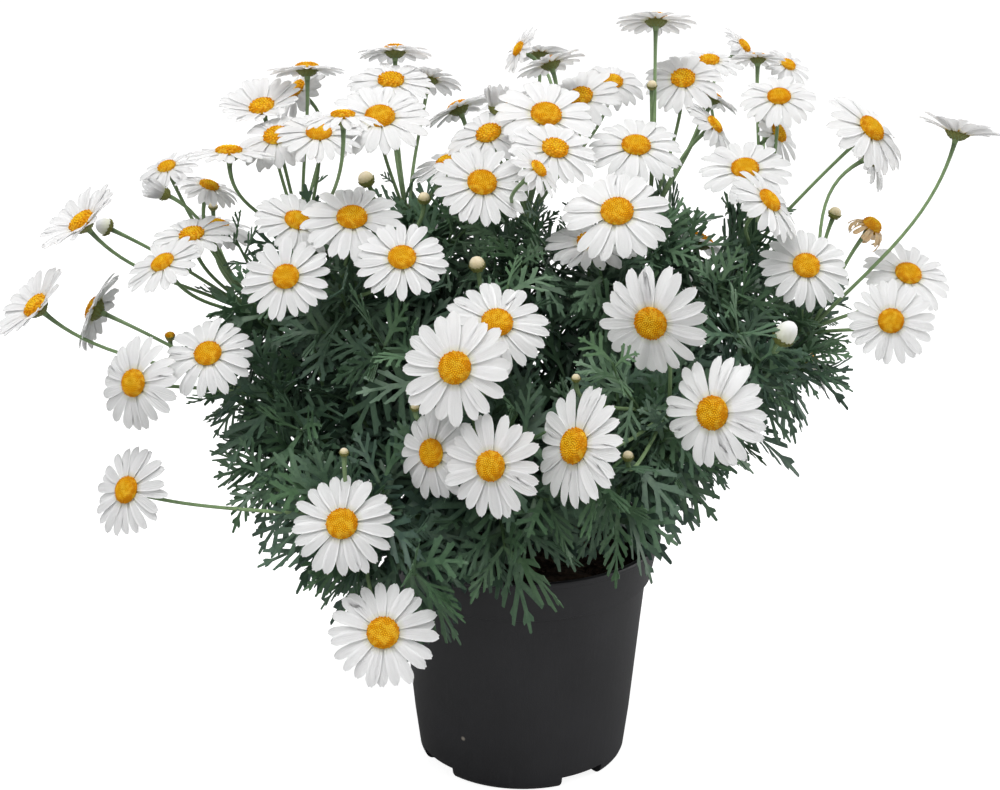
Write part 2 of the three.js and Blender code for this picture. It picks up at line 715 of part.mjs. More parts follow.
// A leaf in one thin arched blade: its lobes are cut to the rib, its edge is sharp, and its rib is
// the thickest line. room makes it larger all round, to keep its neighbours off.
function leafGeometry(root, direction, up, length, droop, room = 0) {
  const side = direction.clone().cross(up).normalize();
  const normal = side.clone().cross(direction);
  const at = (along, across, level) =>
    root
      .clone()
      .addScaledVector(direction, along)
      .addScaledVector(DOWN, (droop * along * along) / length)
      .addScaledVector(side, across)
      .addScaledVector(normal, level + LEAF.fold * Math.abs(across));
  const vertices = [];
  const add = (...place) => vertices.push(at(...place)) - 1;
  const pairs = LEAF.lobePairs;
  const ribLevel = (along) => (LEAF.thickness / 2) * (1.15 - (0.6 * along) / length) + room;
  const first = 0.3 * length;
  const step = (0.52 * length) / pairs;
  const ribs = Array.from({ length: pairs + 1 }, (_, k) => {
    const along = first + k * step;
    return { upper: add(along, 0, ribLevel(along)), lower: add(along, 0, -ribLevel(along)) };
  });
  const edges = [1, -1].map((hand) => ({
    root: add(-room, hand * (1.1 + room), 0),
    notches: ribs.map((_, k) => add(first + k * step + 1.5, hand * (LEAF.rib + room), 0)),
    lobes: Array.from({ length: pairs }, (_, k) => {
      const reach = LEAF.lobe * length * (1 - 0.16 * Math.abs(k - 0.8)) + 2 * room;
      return add(first + (k + 1) * step + 0.1 * length + room, hand * reach, 0);
    }),
  }));
  const tip = add(length + 2 * room, 0, 0);
  const triangles = [];
  ["upper", "lower"].forEach((face) => {
    const cover = [[edges[0].root, edges[1].root, ribs[0][face], false]];
    edges.forEach((edge, hand) => {
      const flip = hand === 1;
      cover.push([edge.root, ribs[0][face], edge.notches[0], flip]);
      for (let k = 0; k < pairs; k += 1) {
        cover.push([ribs[k][face], edge.lobes[k], edge.notches[k], flip]);
        cover.push([ribs[k][face], ribs[k + 1][face], edge.lobes[k], flip]);
        cover.push([ribs[k + 1][face], edge.notches[k + 1], edge.lobes[k], flip]);
      }
      cover.push([edge.notches[pairs], ribs[pairs][face], tip, flip]);
    });
    cover.forEach(([a, b, c, flip]) => {
      triangles.push(flip === (face === "upper") ? [a, c, b] : [a, b, c]);
    });
  });
  return meshGeometry(vertices, triangles);
}

// A stem's line, from its foot in the soil up and out to its top.
function stemOf(spray, top) {
  const azimuth = Math.atan2(top.y, top.x);
  const level = SOIL.level + SOIL.crown;
  const foot = new THREE.Vector3(spray.foot * Math.cos(azimuth), spray.foot * Math.sin(azimuth), level);
  const direction = top.clone().setZ(top.z - STEM.crownLevel).normalize();
  const knee = foot.clone().setZ(level + 2);
  const up = new THREE.Vector3(0, 0, 1);
  const reach = knee.distanceTo(top) * STEM.slack;
  const second = top.clone().addScaledVector(direction, -reach);
  const curve = new THREE.CubicBezierCurve3(knee, knee.clone().addScaledVector(up, reach), second, top);
  return { foot, curve, direction, top };
}

// A place on the stem's body, which runs straight from station to station.
function bodyPoint(stem, share) {
  const { stations } = SHOOTS;
  const upper = Math.max(1, stations.findIndex((station) => station >= share));
  const part = (share - stations[upper - 1]) / (stations[upper] - stations[upper - 1]);
  return stem.curve.getPoint(stations[upper - 1]).lerp(stem.curve.getPoint(stations[upper]), part);
}

// A twig's line, from its own place on the stem to its end.
function twigCurve(stem, end) {
  const distances = stem.curve.getPoints(STEM.steps).map((place) => place.distanceTo(end));
  const nearest = distances.indexOf(Math.min(...distances)) / STEM.steps;
  const share = THREE.MathUtils.clamp(nearest - TWIG.behind, TWIG.least, TWIG.most);
  const root = bodyPoint(stem, share);
  const direction = end.clone().sub(root).normalize();
  const leaving = stem.curve.getTangent(share).addScaledVector(direction, TWIG.leaning).normalize();
  const arriving = direction.addScaledVector(DOWN, -TWIG.rising).normalize();
  return bowed(root, leaving, end, arriving, TWIG.slack);
}

// The stem with its side shoots close round it in a jagged mass, as wide as its neighbours leave
// room for.
function stemBody(stem, neighbours) {
  const sunk = stem.foot.clone().setZ(stem.foot.z - SOIL.holeDepth + GAP);
  const points = SHOOTS.stations.map((share) => stem.curve.getPoint(share));
  const { footRadius, topRadius } = STEM;
  const bare = SHOOTS.stations.map((share) => THREE.MathUtils.lerp(footRadius, topRadius, share));
  const radii = points.map((point, i) => {
    const rooms = neighbours.map((spot) => spot.place.distanceTo(point) * spot.share - spot.clear);
    return Math.max(bare[i], Math.min(SHOOTS.radius, ...rooms) * SHOOTS.widths[i]);
  });
  const cuts = radii.map((radius, i) => Math.max(0, Math.min(SHOOTS.cut, 1 - bare[i] / radius)));
  const geometry = tube([sunk, ...points], [STEM.footRadius, ...radii], STEM.sides, [0, ...cuts]);
  return { geometry, radii };
}

// Everything that stands already, so that what comes next is bent clear of it.
const standing = [];

function sphereOf(solid) {
  const geometry = toGeometry(solid);
  geometry.computeBoundingSphere();
  return geometry.boundingSphere;
}

function stand(node, solid) {
  standing.push({ node, solid, sphere: sphereOf(solid) });
  return solid;
}

function isClear(node, solid) {
  const sphere = sphereOf(solid);
  const near = standing.filter((other) => other.node !== node && other.sphere.intersectsSphere(sphere));
  return near.every((other) => !crosses(other.solid, solid));
}

// The first of several tries that stands clear of the rest, or the last one.
function firstClear(node, tries) {
  let solid = null;
  for (const attempt of tries) {
    solid = attempt();
    if (isClear(node, solid)) {
      return solid;
    }
  }
  return solid;
}

function sprayPlan(spray, index) {
  const draw = seededDraw(SEEDS.blooms + index);
  const placeOf = (at) => (at.seenAt ? seenPoint(at.seenAt, at.ahead) : new THREE.Vector3(...at));
  const stem = stemOf(spray, placeOf(spray.top));
  const twigs = spray.twigs.map((end) => twigCurve(stem, placeOf(end)));
  const seen = (item) => {
    const place = seenPoint(item.seenAt, item.ahead);
    return { ...item, place, faces: facingOf(place, item.open ?? 0.5, item.lean ?? 0) };
  };
  const blooms = spray.blooms ? spray.blooms.map(seen) : backBlooms(spray, draw);
  const buds = (spray.buds ?? []).map(seen);
  return { name: spray.name, stem, twigs, blooms, buds };
}

// Blooms over the back of the dome, spread by the golden angle's share.
function backBlooms(spray, draw) {
  const { centre, radius } = BACK_DOME;
  const { count, low, high, across, spread } = BACK_BLOOMS;
  return Array.from({ length: count }, (_, k) => {
    const turned = THREE.MathUtils.lerp(spray.from, spray.to, (k + 0.5) / count);
    const azimuth = THREE.MathUtils.degToRad(turned);
    const rise = THREE.MathUtils.lerp(low, high, (0.3 + k * 0.618) % 1);
    const level = Math.sqrt(1 - rise * rise);
    const out = new THREE.Vector3(level * Math.cos(azimuth), level * Math.sin(azimuth), rise);
    const place = new THREE.Vector3(...centre).add(out.clone().multiply(new THREE.Vector3(...radius)));
    const faces = out.add(new THREE.Vector3(0, 0, 0.35)).normalize();
    return { place, faces, across: across + spread * (draw() - 0.5) };
  });
}

function cornersOf(solid) {
  const { position } = toGeometry(solid).attributes;
  const corner = (_, k) => new THREE.Vector3().fromBufferAttribute(position, k);
  return Array.from({ length: position.count }, corner);
}

// A twig, drawn back towards its stem until it stands clear of the rest, or left out.
function growTwig(plan, curve) {
  for (let attempt = 0; attempt < TWIG.tries; attempt += 1) {
    const reach = THREE.MathUtils.lerp(1, TWIG.shortest, attempt / (TWIG.tries - 1));
    const shares = Array.from({ length: TWIG.pieces + 1 }, (_, k) => k / TWIG.pieces);
    const places = shares.map((share) => curve.getPoint(reach * share));
    const radii = shares.map((share) => THREE.MathUtils.lerp(TWIG.foot, TWIG.tip, share));
    const room = toSolid(tube(places, radii.map((radius) => radius + LEAF.room), TWIG.sides));
    if (isClear(stemNode(plan), room)) {
      plan.green.push(stand(stemNode(plan), toSolid(tube(places, radii, TWIG.sides))));
      TWIG.leaves.forEach((along) => {
        const part = along * TWIG.pieces;
        const piece = Math.min(Math.floor(part), TWIG.pieces - 1);
        const place = places[piece].clone().lerp(places[piece + 1], part - piece);
        const axis = curve.getTangent(along * reach);
        plan.sites.push({ place, axis, rise: along, inset: 0, length: TWIG.leafLength });
      });
      return;
    }
  }
}

// One leaf on a stem or a twig, turned round it until it stands clear of the rest, or left out.
function growLeaf(plan, site, k) {
  const first = perpendicular(site.axis);
  const second = site.axis.clone().cross(first);
  const pitch = THREE.MathUtils.degToRad(THREE.MathUtils.lerp(LEAF.pitch.low, LEAF.pitch.high, site.rise));
  const length = site.length * (0.84 + 0.32 * plan.draw());
  const droop = THREE.MathUtils.lerp(LEAF.droop.low, LEAF.droop.high, site.rise);
  for (let attempt = 0; attempt < LEAF.tries; attempt += 1) {
    const azimuth = k * GOLDEN_ANGLE + (attempt * TURN) / LEAF.tries;
    const out = first.clone().multiplyScalar(Math.cos(azimuth));
    out.addScaledVector(second, Math.sin(azimuth)).multiplyScalar(Math.cos(pitch));
    const direction = out.addScaledVector(site.axis, Math.sin(pitch)).normalize();
    const up = new THREE.Vector3(0, 0, 1).addScaledVector(site.axis, 0.6);
    const root = site.place.clone().addScaledVector(direction, site.inset);
    const room = toSolid(leafGeometry(root, direction, up, length, droop, LEAF.room));
    const own = plan.leaves ?? [];
    if (isClear(stemNode(plan), room) && own.every((leaf) => !crosses(leaf, room))) {
      const leaf = stand(stemNode(plan), toSolid(leafGeometry(root, direction, up, length, droop)));
      plan.leaves = [...own, leaf];
      plan.green.push(leaf);
      return;
    }
  }
}

function shootRadius(plan, share) {
  const { stations } = SHOOTS;
  const upper = Math.max(1, stations.findIndex((station) => station >= share));
  const part = (share - stations[upper - 1]) / (stations[upper] - stations[upper - 1]);
  return THREE.MathUtils.lerp(plan.shootRadii[upper - 1], plan.shootRadii[upper], part);
}

const plans = [...SPRAYS, ...BACK_SPRAYS].map(sprayPlan);
const sprayNode = (plan) => `flower_spray_${plan.name}`;
const stemNode = (plan) => `leafy_stem_${plan.name}`;

const pot = stand("pot", potSolid());
const soil = stand("soil", soilSolid(plans.map((plan) => plan.stem.foot)));

plans.forEach((plan) => {
  const points = [0.1, 0.4, 0.7, 1].map((share) => plan.stem.curve.getPoint(share));
  stand(stemNode(plan), toSolid(tube(points, points.map(() => STEM.footRadius + 0.5), STEM.sides)));
});

const discNodes = [];
plans.forEach((plan) => {
  const { top, direction } = plan.stem;
  const at = (along) => top.clone().addScaledVector(direction, along);
  const points = [at(GAP), at(KNOT.length * 0.5), at(KNOT.length)];
  const radii = [STEM.topRadius, KNOT.radius, KNOT.radius * 0.6];
  plan.parts = [stand(sprayNode(plan), toSolid(tube(points, radii, KNOT.sides)))];
  // The lowest stalks are those that turn out furthest.
  const aside = (item) => item.place.clone().sub(top).angleTo(direction);
  const items = [...plan.blooms, ...plan.buds].sort((one, other) => aside(other) - aside(one));
  items.forEach((item, k) => {
    const share = THREE.MathUtils.lerp(KNOT.low, KNOT.high, (k + 0.5) / items.length);
    item.root = at(KNOT.length * share);
  });
  plan.blooms.forEach((bloom, k) => {
    if (bloom.disc) {
      const name = `bloom_disc_${plan.name}_${k + 1}`;
      discNodes.push({ name, solid: stand(name, toSolid(discGeometry(bloom))) });
    }
  });
});

plans.forEach((plan) => {
  const grow = (maker, item) => {
    const tries = STALK_SLACKS.map((slack) => () => maker(item, plan.stem.direction, slack));
    plan.parts.push(stand(sprayNode(plan), firstClear(sprayNode(plan), tries)));
  };
  plan.blooms.forEach((bloom) => grow(bloomSolid, bloom));
  plan.buds.forEach((bud) => grow(budSolid, bud));
});

// What the side shoots keep away from: the other stems by a share of the way to them, and every
// stalk and bloom by a fixed distance.
const spots = plans.flatMap((plan) =>
  plan.stem.curve.getPoints(8).map((place) => ({ plan, place, share: SHOOTS.share, clear: 0 })),
);
standing.forEach(({ node, solid }) => {
  if (node.startsWith("flower_spray") || node === "pot") {
    cornersOf(solid).forEach((place) => {
      spots.push({ plan: null, place, share: 1, clear: SHOOTS.clear });
    });
  }
});

plans.forEach((plan, index) => {
  const { geometry, radii } = stemBody(plan.stem, spots.filter((spot) => spot.plan !== plan));
  plan.draw = seededDraw(SEEDS.leaves + index);
  plan.shootRadii = radii;
  plan.green = [stand(stemNode(plan), toSolid(geometry))];
  plan.sites = Array.from({ length: LEAF.perStem }, (_, k) => {
    const share = THREE.MathUtils.lerp(LEAF.from, 1, k / (LEAF.perStem - 1));
    const place = bodyPoint(plan.stem, share);
    const axis = plan.stem.curve.getTangent(share);
    return { place, axis, rise: share, inset: shootRadius(plan, share) / 2, length: LEAF.length };
  });
});

plans.forEach((plan) => plan.twigs.forEach((curve) => growTwig(plan, curve)));

const mostSites = Math.max(...plans.map((plan) => plan.sites.length));
for (let k = 0; k < mostSites; k += 1) {
  plans.filter((plan) => k < plan.sites.length).forEach((plan) => growLeaf(plan, plan.sites[k], k));
}

const group = new THREE.Group();

function addPiece(name, solid, finish) {
  const material = new THREE.MeshStandardMaterial({ ...finish, metalness: 0 });
  const mesh = new THREE.Mesh(toGeometry(solid), material);
  mesh.name = name;
  group.add(mesh);
}

addPiece("pot", pot, FINISH.pot);
addPiece("soil", soil, FINISH.soil);
plans.forEach((plan) => addPiece(stemNode(plan), joined(plan.green), FINISH.leaf));
plans.forEach((plan) => addPiece(sprayNode(plan), joined(plan.parts), FINISH.petal));
discNodes.forEach(({ name, solid }) => addPiece(name, solid, FINISH.disc));

export default group;
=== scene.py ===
"""Potted marguerite daisy: petals, discs, stalks, leaves, soil and pot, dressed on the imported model.

Lengths are in millimetres until a mesh is made. The plant's branches, and every bloom on them,
stand where the solids have them, from the same named values. A few twigs end a little off their
solids, and a few blooms are tilted a little further. Finer twigs, shoots and leaves are added.
"""

import math
from types import SimpleNamespace as Values

import bpy
import numpy as np
from mathutils.geometry import delaunay_2d_cdt
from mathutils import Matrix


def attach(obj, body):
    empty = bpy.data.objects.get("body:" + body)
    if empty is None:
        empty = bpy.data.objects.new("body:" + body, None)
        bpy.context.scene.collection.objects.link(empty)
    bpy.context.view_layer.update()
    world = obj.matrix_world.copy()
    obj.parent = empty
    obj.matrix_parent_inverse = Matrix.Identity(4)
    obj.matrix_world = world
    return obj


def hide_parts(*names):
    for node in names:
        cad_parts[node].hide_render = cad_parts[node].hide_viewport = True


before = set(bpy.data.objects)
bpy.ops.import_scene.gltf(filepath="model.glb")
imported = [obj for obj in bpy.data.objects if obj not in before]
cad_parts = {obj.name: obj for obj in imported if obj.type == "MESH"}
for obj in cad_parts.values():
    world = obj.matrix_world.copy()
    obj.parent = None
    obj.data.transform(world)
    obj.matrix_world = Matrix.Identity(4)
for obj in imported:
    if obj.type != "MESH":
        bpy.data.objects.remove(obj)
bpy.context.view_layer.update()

MM = 0.001
UP = np.array([0.0, 0.0, 1.0])
GOLDEN_ANGLE = math.pi * (3 - math.sqrt(5))

# Where the photograph was taken from, in millimetres, and its picture, in pixels.
EYE = np.array([-12.0, -913.0, 491.0])
PITCH = math.radians(17.6)
PICTURE = Values(width=1000, height=790, focal=1841)

POT = Values(sides=160, height=126.0, rim=73.5, lip=1.4, lip_height=3.0, collar_foot=104.0, collar=68.6,
             step=66.0, base=56.0, edge=6.0, wall=1.8, floor=2.4)
CHANNEL = Values(count=4, width=26.0, height=7.0, depth=12.0, turn=-55.0, hole=3.6, within=0.99)
SOIL = Values(level=111.0, crown=3.0, gap=0.3, sides=96, rings=26, lumps=(23.0, 11.0, 5.0, 2.6), crumbs=420)
INNER_RING, OUTER_RING = 14.0, 31.0
STEM = Values(foot=2.7, top=2.1, slack=0.42, crown=121.0, sunk=12.0, sides=9, rings=18)
NECK = Values(length=16.0, low=0.2, high=0.8, turned=0.7)
# How far the rings of a spray's neck stand above its stem, and their radii.
NECK_RINGS = Values(along=(0.3, 5.0, 10.0, 16.0), radii=(STEM.top, 2.5, 2.2, 1.2))
STALK = Values(radius=0.9, neck=1.35, slack=0.36, cup=0.125, under=2.4, depth=0.1, sides=7, rings=17)
# A disc's radius and height are shares of its bloom's width.
DISC = Values(radius=0.157, height=0.082, foot=0.3)
FLORETS = {"front": 190, "far": 66, "golden": 60, "withered": 130}
# A bloom's pairs of petals, and how they rise and curl. A withered head's disc is wide for its petals.
BLOOM = Values(pairs=(10, 12), slope=(-0.02, 0.14), curl=(0.06, 0.28), raised=0.36, raised_curl=0.16,
               front_width=1.06, far_width=1.16)
WITHERED = Values(petals=17, disc=1.8, tall=2.2, tone=0.22)
# How far adjoining faces may turn before their edge is shaded as a crease, in degrees.
CREASE, POT_CREASE = 50, 38
SOIL_SEED, FIRST_SPRAY_SEED = 5, 100

# Each spray: its stem's foot and top, the ends of its twigs and of the shoots that fill its gaps,
# then its blooms and buds. Each begins with its place: how far across and down the picture, in pixels,
# and how far ahead of the pot's axis, in millimetres. A twig then has the size of its leaves, and a
# shoot that and how young it is. A bloom or bud has its width, how far it is turned to the viewer,
# its lean in degrees, and its kind. Front and far blooms differ in how finely they are made, and a
# raised one holds its petals up. A long bud has its length last, as a share of its width. A crown is
# the size of the leaves at the top of a stem.
SPRAYS = [
    Values(
        name="low_left", foot=OUTER_RING, top=(368, 520, 80),
        twigs=[(322, 490, 70, 1), (360, 566, 100, 0.7), (415, 575, 110, 0.9)],
        shoots=[(268, 486, 55, 0.85, 0), (330, 505, 85, 1, 0)],
        blooms=[
            (383, 633, 130, 49, 0.97, 0, "front"), (342, 524, 112, 48, 0.95, -20, "front"),
            (127, 490, 70, 44, 0.7, -68, "front"),
        ],
        buds=[(344, 452, 100, 4, 0.5, 0, "round")],
    ),
    Values(
        name="left", foot=OUTER_RING, top=(280, 405, 15),
        twigs=[(288, 456, 35, 0.9), (238, 402, 5, 0.65), (258, 470, 28, 0.8)],
        shoots=[(220, 392, 15, 0.6, 0.1), (300, 430, 40, 1, 0.1)],
        blooms=[
            (134, 383, 60, 44, 0.77, -80, "front"), (208, 354, 50, 44, 0.8, -20, "front"),
            (36, 306, 20, 44, 0.34, -45, "raised"), (94, 309, 0, 42, -0.2, -62, "far"),
        ],
        buds=[(170, 336, -30, 5, 0.5, 0, "golden")],
    ),
    Values(
        name="high_left", foot=OUTER_RING, top=(275, 330, -30),
        twigs=[(248, 350, -15, 1)],
        shoots=[(236, 240, -30, 0.5, 0.1), (250, 300, 0, 0.9, 0.1)],
        blooms=[
            (82, 222, 0, 46, 0.32, -38, "raised"), (163, 263, 20, 40, 0.48, -30, "front"),
            (192, 235, -20, 42, 0.45, -10, "far"), (217, 226, -75, 40, 0.4, 10, "far"),
            (167, 167, -60, 32, 0.45, -20, "far"), (209, 186, -50, 34, 0.35, 20, "far"),
        ],
        buds=[
            (104, 226, -30, 9, 0.2, -62, "shut"), (158, 191, -45, 9.5, 0.25, -64, "opening", 1.5),
            (213, 206, -110, 5, 0.5, 0, "round"),
        ],
    ),
    Values(
        name="upper_left", foot=OUTER_RING, top=(318, 262, -55),
        twigs=[(292, 262, -70, 1)],
        shoots=[(322, 240, -45, 0.9, 0.2), (298, 246, -60, 0.9, 0.1)],
        blooms=[
            (229, 152, -30, 44, 0.12, 0, "far"), (262, 107, -75, 44, 0.5, -14, "raised"),
            (276, 136, -45, 42, 0.62, -15, "far"), (297, 90, -110, 40, 0.35, -50, "far"),
            (307, 68, -85, 40, -0.12, 0, "far"), (319, 133, -25, 43, 0.54, 0, "front"),
            (343, 116, 22, 38, 0.1, 0, "far"),
        ],
        buds=[(366, 179, -10, 8, 0.4, -25, "round")],
    ),
    Values(
        name="mid_left", foot=INNER_RING, top=(352, 315, 0),
        twigs=[(328, 268, -15, 1), (385, 345, 45, 1)],
        shoots=[(350, 262, 5, 0.9, 0.1), (318, 330, 30, 1, 0)],
        blooms=[
            (297, 221, 5, 42, 0.65, 20, "front"), (286, 277, 50, 42, 0.88, -20, "front"),
            (352, 218, 25, 49, 0.7, 0, "front"), (402, 258, 50, 44, 0.8, 0, "front"),
        ],
        buds=[(424, 198, 0, 6, 0.5, 0, "round")],
    ),
    Values(
        name="crest_left", foot=INNER_RING, top=(415, 242, -45),
        twigs=[(372, 230, -60, 1), (440, 234, -35, 1)],
        shoots=[(470, 222, -5, 0.8, 0.1), (402, 212, -40, 0.7, 0.2), (420, 235, -20, 0.9, 0.1),
                   (452, 232, -10, 0.9, 0.1)],
        blooms=[
            (380, 117, -45, 51, 0.66, 0, "front"), (391, 81, -95, 46, 0.5, 0, "far"),
            (395, 50, -130, 40, -0.2, 0, "far"), (429, 78, -125, 36, -0.4, 10, "far"),
            (458, 107, -88, 38, -0.2, -24, "far"), (447, 162, -45, 38, 0.35, -20, "far"),
        ],
        buds=[],
    ),
    Values(
        name="crest", foot=INNER_RING, top=(528, 238, -35),
        twigs=[(508, 224, -25, 0.55), (575, 250, -30, 0.8)],
        crown=0.5,
        shoots=[(498, 240, 0, 0.8, 0.1), (545, 245, 0, 0.8, 0.1), (520, 262, 15, 0.8, 0.1)],
        blooms=[
            (482, 183, 5, 48, 0.8, 10, "front"), (489, 134, -45, 44, 0.6, -20, "far"),
            (546, 115, -35, 52, 0.68, 10, "front"), (555, 149, -5, 44, 0.62, 15, "far"),
            (538, 169, 35, 30, 0.4, 50, "far"), (508, 105, -105, 40, 0.3, -20, "far"),
            (519, 49, -110, 28, 0.3, -60, "far"), (540, 52, -145, 34, -0.3, 0, "far"),
            (550, 62, -80, 36, -0.25, -18, "far"), (581, 97, -85, 42, 0.7, -15, "far"),
            (613, 82, -110, 36, 0.6, 10, "far"),
        ],
        buds=[(497, 101, -65, 11.5, 0.15, 0, "opening", 1.3)],
    ),
    Values(
        name="crest_right", foot=INNER_RING, top=(640, 245, -40),
        twigs=[(700, 220, -60, 1), (622, 300, 10, 1)],
        shoots=[(662, 246, -15, 0.8, 0.1), (690, 246, -20, 0.8, 0.1), (600, 268, 20, 0.8, 0.1)],
        blooms=[
            (617, 212, 30, 52, 0.8, 0, "front"), (591, 242, 0, 46, 0.5, 0, "far"),
            (636, 146, -35, 49, 0.62, 5, "front"), (656, 19, -80, 40, -0.28, 0, "far"),
            (683, 79, -75, 42, 0.7, 0, "far"), (709, 61, -125, 38, 0.4, 0, "far"), (713, 97, -95, 30, -0.2, 20, "far"),
            (714, 125, -60, 34, 0.25, 50, "far"),
        ],
        buds=[(652, 85, -60, 5, 0.5, 0, "round")],
    ),
    Values(
        name="upper_right", foot=OUTER_RING, top=(742, 262, -35),
        twigs=[(735, 222, -70, 1), (776, 310, -10, 1)],
        shoots=[(720, 285, 0, 0.8, 0.1), (742, 300, 10, 0.8, 0.1)],
        blooms=[
            (745, 169, -20, 46, 0.66, 0, "front"), (769, 201, 15, 42, 0.42, 47, "front"),
            (778, 133, -75, 36, 0.4, 60, "far"), (779, 97, -60, 40, 0.62, 0, "front"),
            (744, 46, -152, 28, 0.3, 50, "far"), (758, 57, -100, 28, -0.25, 0, "far"),
            (788, 65, -115, 28, 0.5, 30, "far"), (871, 129, -20, 48, 0.48, 45, "front"),
        ],
        buds=[],
    ),
    Values(
        name="right", foot=OUTER_RING, top=(790, 345, 0),
        twigs=[(814, 348, 10, 0.62), (762, 382, 25, 0.7), (832, 296, -25, 0.45)],
        shoots=[(738, 330, 40, 0.9, 0), (760, 360, 40, 0.9, 0)],
        blooms=[
            (806, 266, 20, 44, 0.85, 20, "front"), (872, 156, -65, 38, -0.15, 60, "far"),
            (958, 131, -30, 42, -0.12, 12, "raised"), (870, 228, -10, 19, 0.25, 35, "withered"),
            (908, 274, -15, 45, 0.7, 20, "front"), (891, 321, 30, 41, 0.97, 0, "front"),
        ],
        buds=[(835, 213, -40, 6.5, 0.3, 20, "round"), (786, 333, 55, 10.8, 0.45, 35, "shut", 1.25)],
    ),
    Values(
        name="front_right", foot=OUTER_RING, top=(655, 425, 50),
        twigs=[(672, 460, 62, 0.8), (618, 512, 90, 0.85), (720, 420, 45, 0.72)],
        shoots=[(682, 425, 75, 0.9, 0.1), (612, 362, 95, 0.7, 0.2), (598, 480, 100, 0.9, 0.1)],
        blooms=[
            (651, 323, 85, 51, 0.9, -135, "front"), (713, 413, 100, 52, 0.88, -90, "front"),
            (575, 446, 110, 55, 0.66, -80, "front"),
        ],
        buds=[(628, 456, 100, 5, 0.5, 0, "round"), (576, 378, 85, 4, 0.5, 0, "round")],
    ),
    Values(
        name="front", foot=INNER_RING, top=(482, 445, 62),
        twigs=[(505, 548, 92, 1), (548, 500, 85, 1)],
        shoots=[(545, 432, 90, 1, 0.1), (410, 352, 65, 1, 0.1), (508, 285, 40, 0.8, 0.1)],
        blooms=[
            (497, 323, 70, 49, 0.82, 10, "front"), (455, 368, 105, 50, 0.95, -60, "front"),
            (432, 453, 100, 44, 0.77, -90, "front"), (491, 466, 122, 46, 0.91, -92, "front"),
        ],
        buds=[(477, 264, 40, 7.6, 0.6, -10, "round"), (415, 407, 85, 4, 0.5, 0, "round")],
    ),
]

# The side that the photograph doesn't show: (name, stem's top, azimuths from and to, ends of twigs).
BACK_SPRAYS = [
    ("back_left", (-62, 78, 208), (98, 158), [(-105, 70, 168), (-45, 105, 168), (-20, 70, 218)]),
    ("back_right", (66, 74, 208), (8, 80), [(110, 62, 168), (50, 105, 168), (25, 72, 218)]),
]
BACK_DOME = Values(centre=np.array([-5.0, 20.0, 168.0]), radius=np.array([175.0, 150.0, 135.0]), lift=0.35)
BACK_BLOOMS = Values(count=5, low=0.05, high=0.8, across=44.0)


# Places and curves

def unit(vector):
    return vector / np.linalg.norm(vector, axis=-1, keepdims=True)


def mixed(a, b, share):
    return a + (b - a) * share


def changed(values, **others):
    """A copy with some of its values changed."""
    return Values(**{**vars(values), **others})


def seen_point(across, down, ahead):
    """The place that is seen at a pixel, that far ahead of the pot's axis."""
    right = (across - PICTURE.width / 2) / PICTURE.focal
    up = (PICTURE.height / 2 - down) / PICTURE.focal
    cosine, sine = math.cos(PITCH), math.sin(PITCH)
    travel = (-EYE[1] - ahead) / (cosine + up * sine)
    return np.array([EYE[0] + right * travel, -ahead, EYE[2] + (up * cosine - sine) * travel])


def facing_of(place, turned, lean):
    """The way that a head faces: turned to the viewer by a share, and leaning to one side."""
    eye = unit(EYE - place)
    right = unit(np.cross(UP, eye))
    lean = math.radians(lean)
    sideways = np.cross(eye, right) * math.cos(lean) + right * math.sin(lean)
    return unit(eye * turned + sideways * math.sqrt(1 - turned * turned))


def perpendicular(direction):
    helper = np.where(np.abs(direction[..., 2:]) > 0.8, [1.0, 0, 0], UP)
    return unit(np.cross(helper, direction))


def turns(count, shift=0.0):
    """Angles spaced evenly round a circle."""
    return (np.arange(count) + shift) * 2 * math.pi / count


def circle(angle, first, second):
    return np.cos(angle)[..., None] * first + np.sin(angle)[..., None] * second


def spread(axis, angle):
    """The ways out from an axis at some angles, and the ways round it there."""
    first = perpendicular(axis)
    out = circle(angle, first, np.cross(axis, first))
    return out, np.cross(axis, out)


def bezier(corners, shares):
    t = np.asarray(shares, float)[:, None]
    a, b, c, d = corners
    return a * (1 - t) ** 3 + 3 * b * t * (1 - t) ** 2 + 3 * c * t * t * (1 - t) + d * t ** 3


def bowed(start, leaving, end, arriving, slack):
    reach = np.linalg.norm(end - start) * slack
    return [start, start + leaving * reach, end - arriving * reach, end]


def aim(curve, share):
    """A point of a curve, and the way that the curve runs there."""
    root, ahead = bezier(curve, [share, share + 0.02])
    return root, unit(ahead - root)


def plan_of(name, foot, top, twigs, blooms, shoots=(), buds=(), crown=1):
    azimuth = math.atan2(top[1], top[0])
    knee = np.array([foot * math.cos(azimuth), foot * math.sin(azimuth), SOIL.level + SOIL.crown + 2])
    direction = unit(top - UP * STEM.crown)
    curve = bowed(knee, UP, top, direction, STEM.slack)
    return Values(name=name, top=top, direction=direction, curve=curve, twigs=twigs, shoots=shoots, blooms=blooms,
                  buds=buds, crown=crown, stalks=[])


def seen_head(across, down, ahead, width, turned, lean, kind, long=1):
    place = seen_point(across, down, ahead)
    return Values(place=place, faces=facing_of(place, turned, lean), across=width, kind=kind, long=long)


def back_bloom(azimuths, k):
    """A bloom on the dome of the plant's far side."""
    azimuth = math.radians(mixed(*azimuths, (k + 0.5) / BACK_BLOOMS.count))
    rise = mixed(BACK_BLOOMS.low, BACK_BLOOMS.high, (0.3 + k * 0.618) % 1)
    level = math.sqrt(1 - rise * rise)
    out = np.array([level * math.cos(azimuth), level * math.sin(azimuth), rise])
    place = BACK_DOME.centre + out * BACK_DOME.radius
    return Values(place=place, faces=unit(out + UP * BACK_DOME.lift), across=BACK_BLOOMS.across, kind="far")


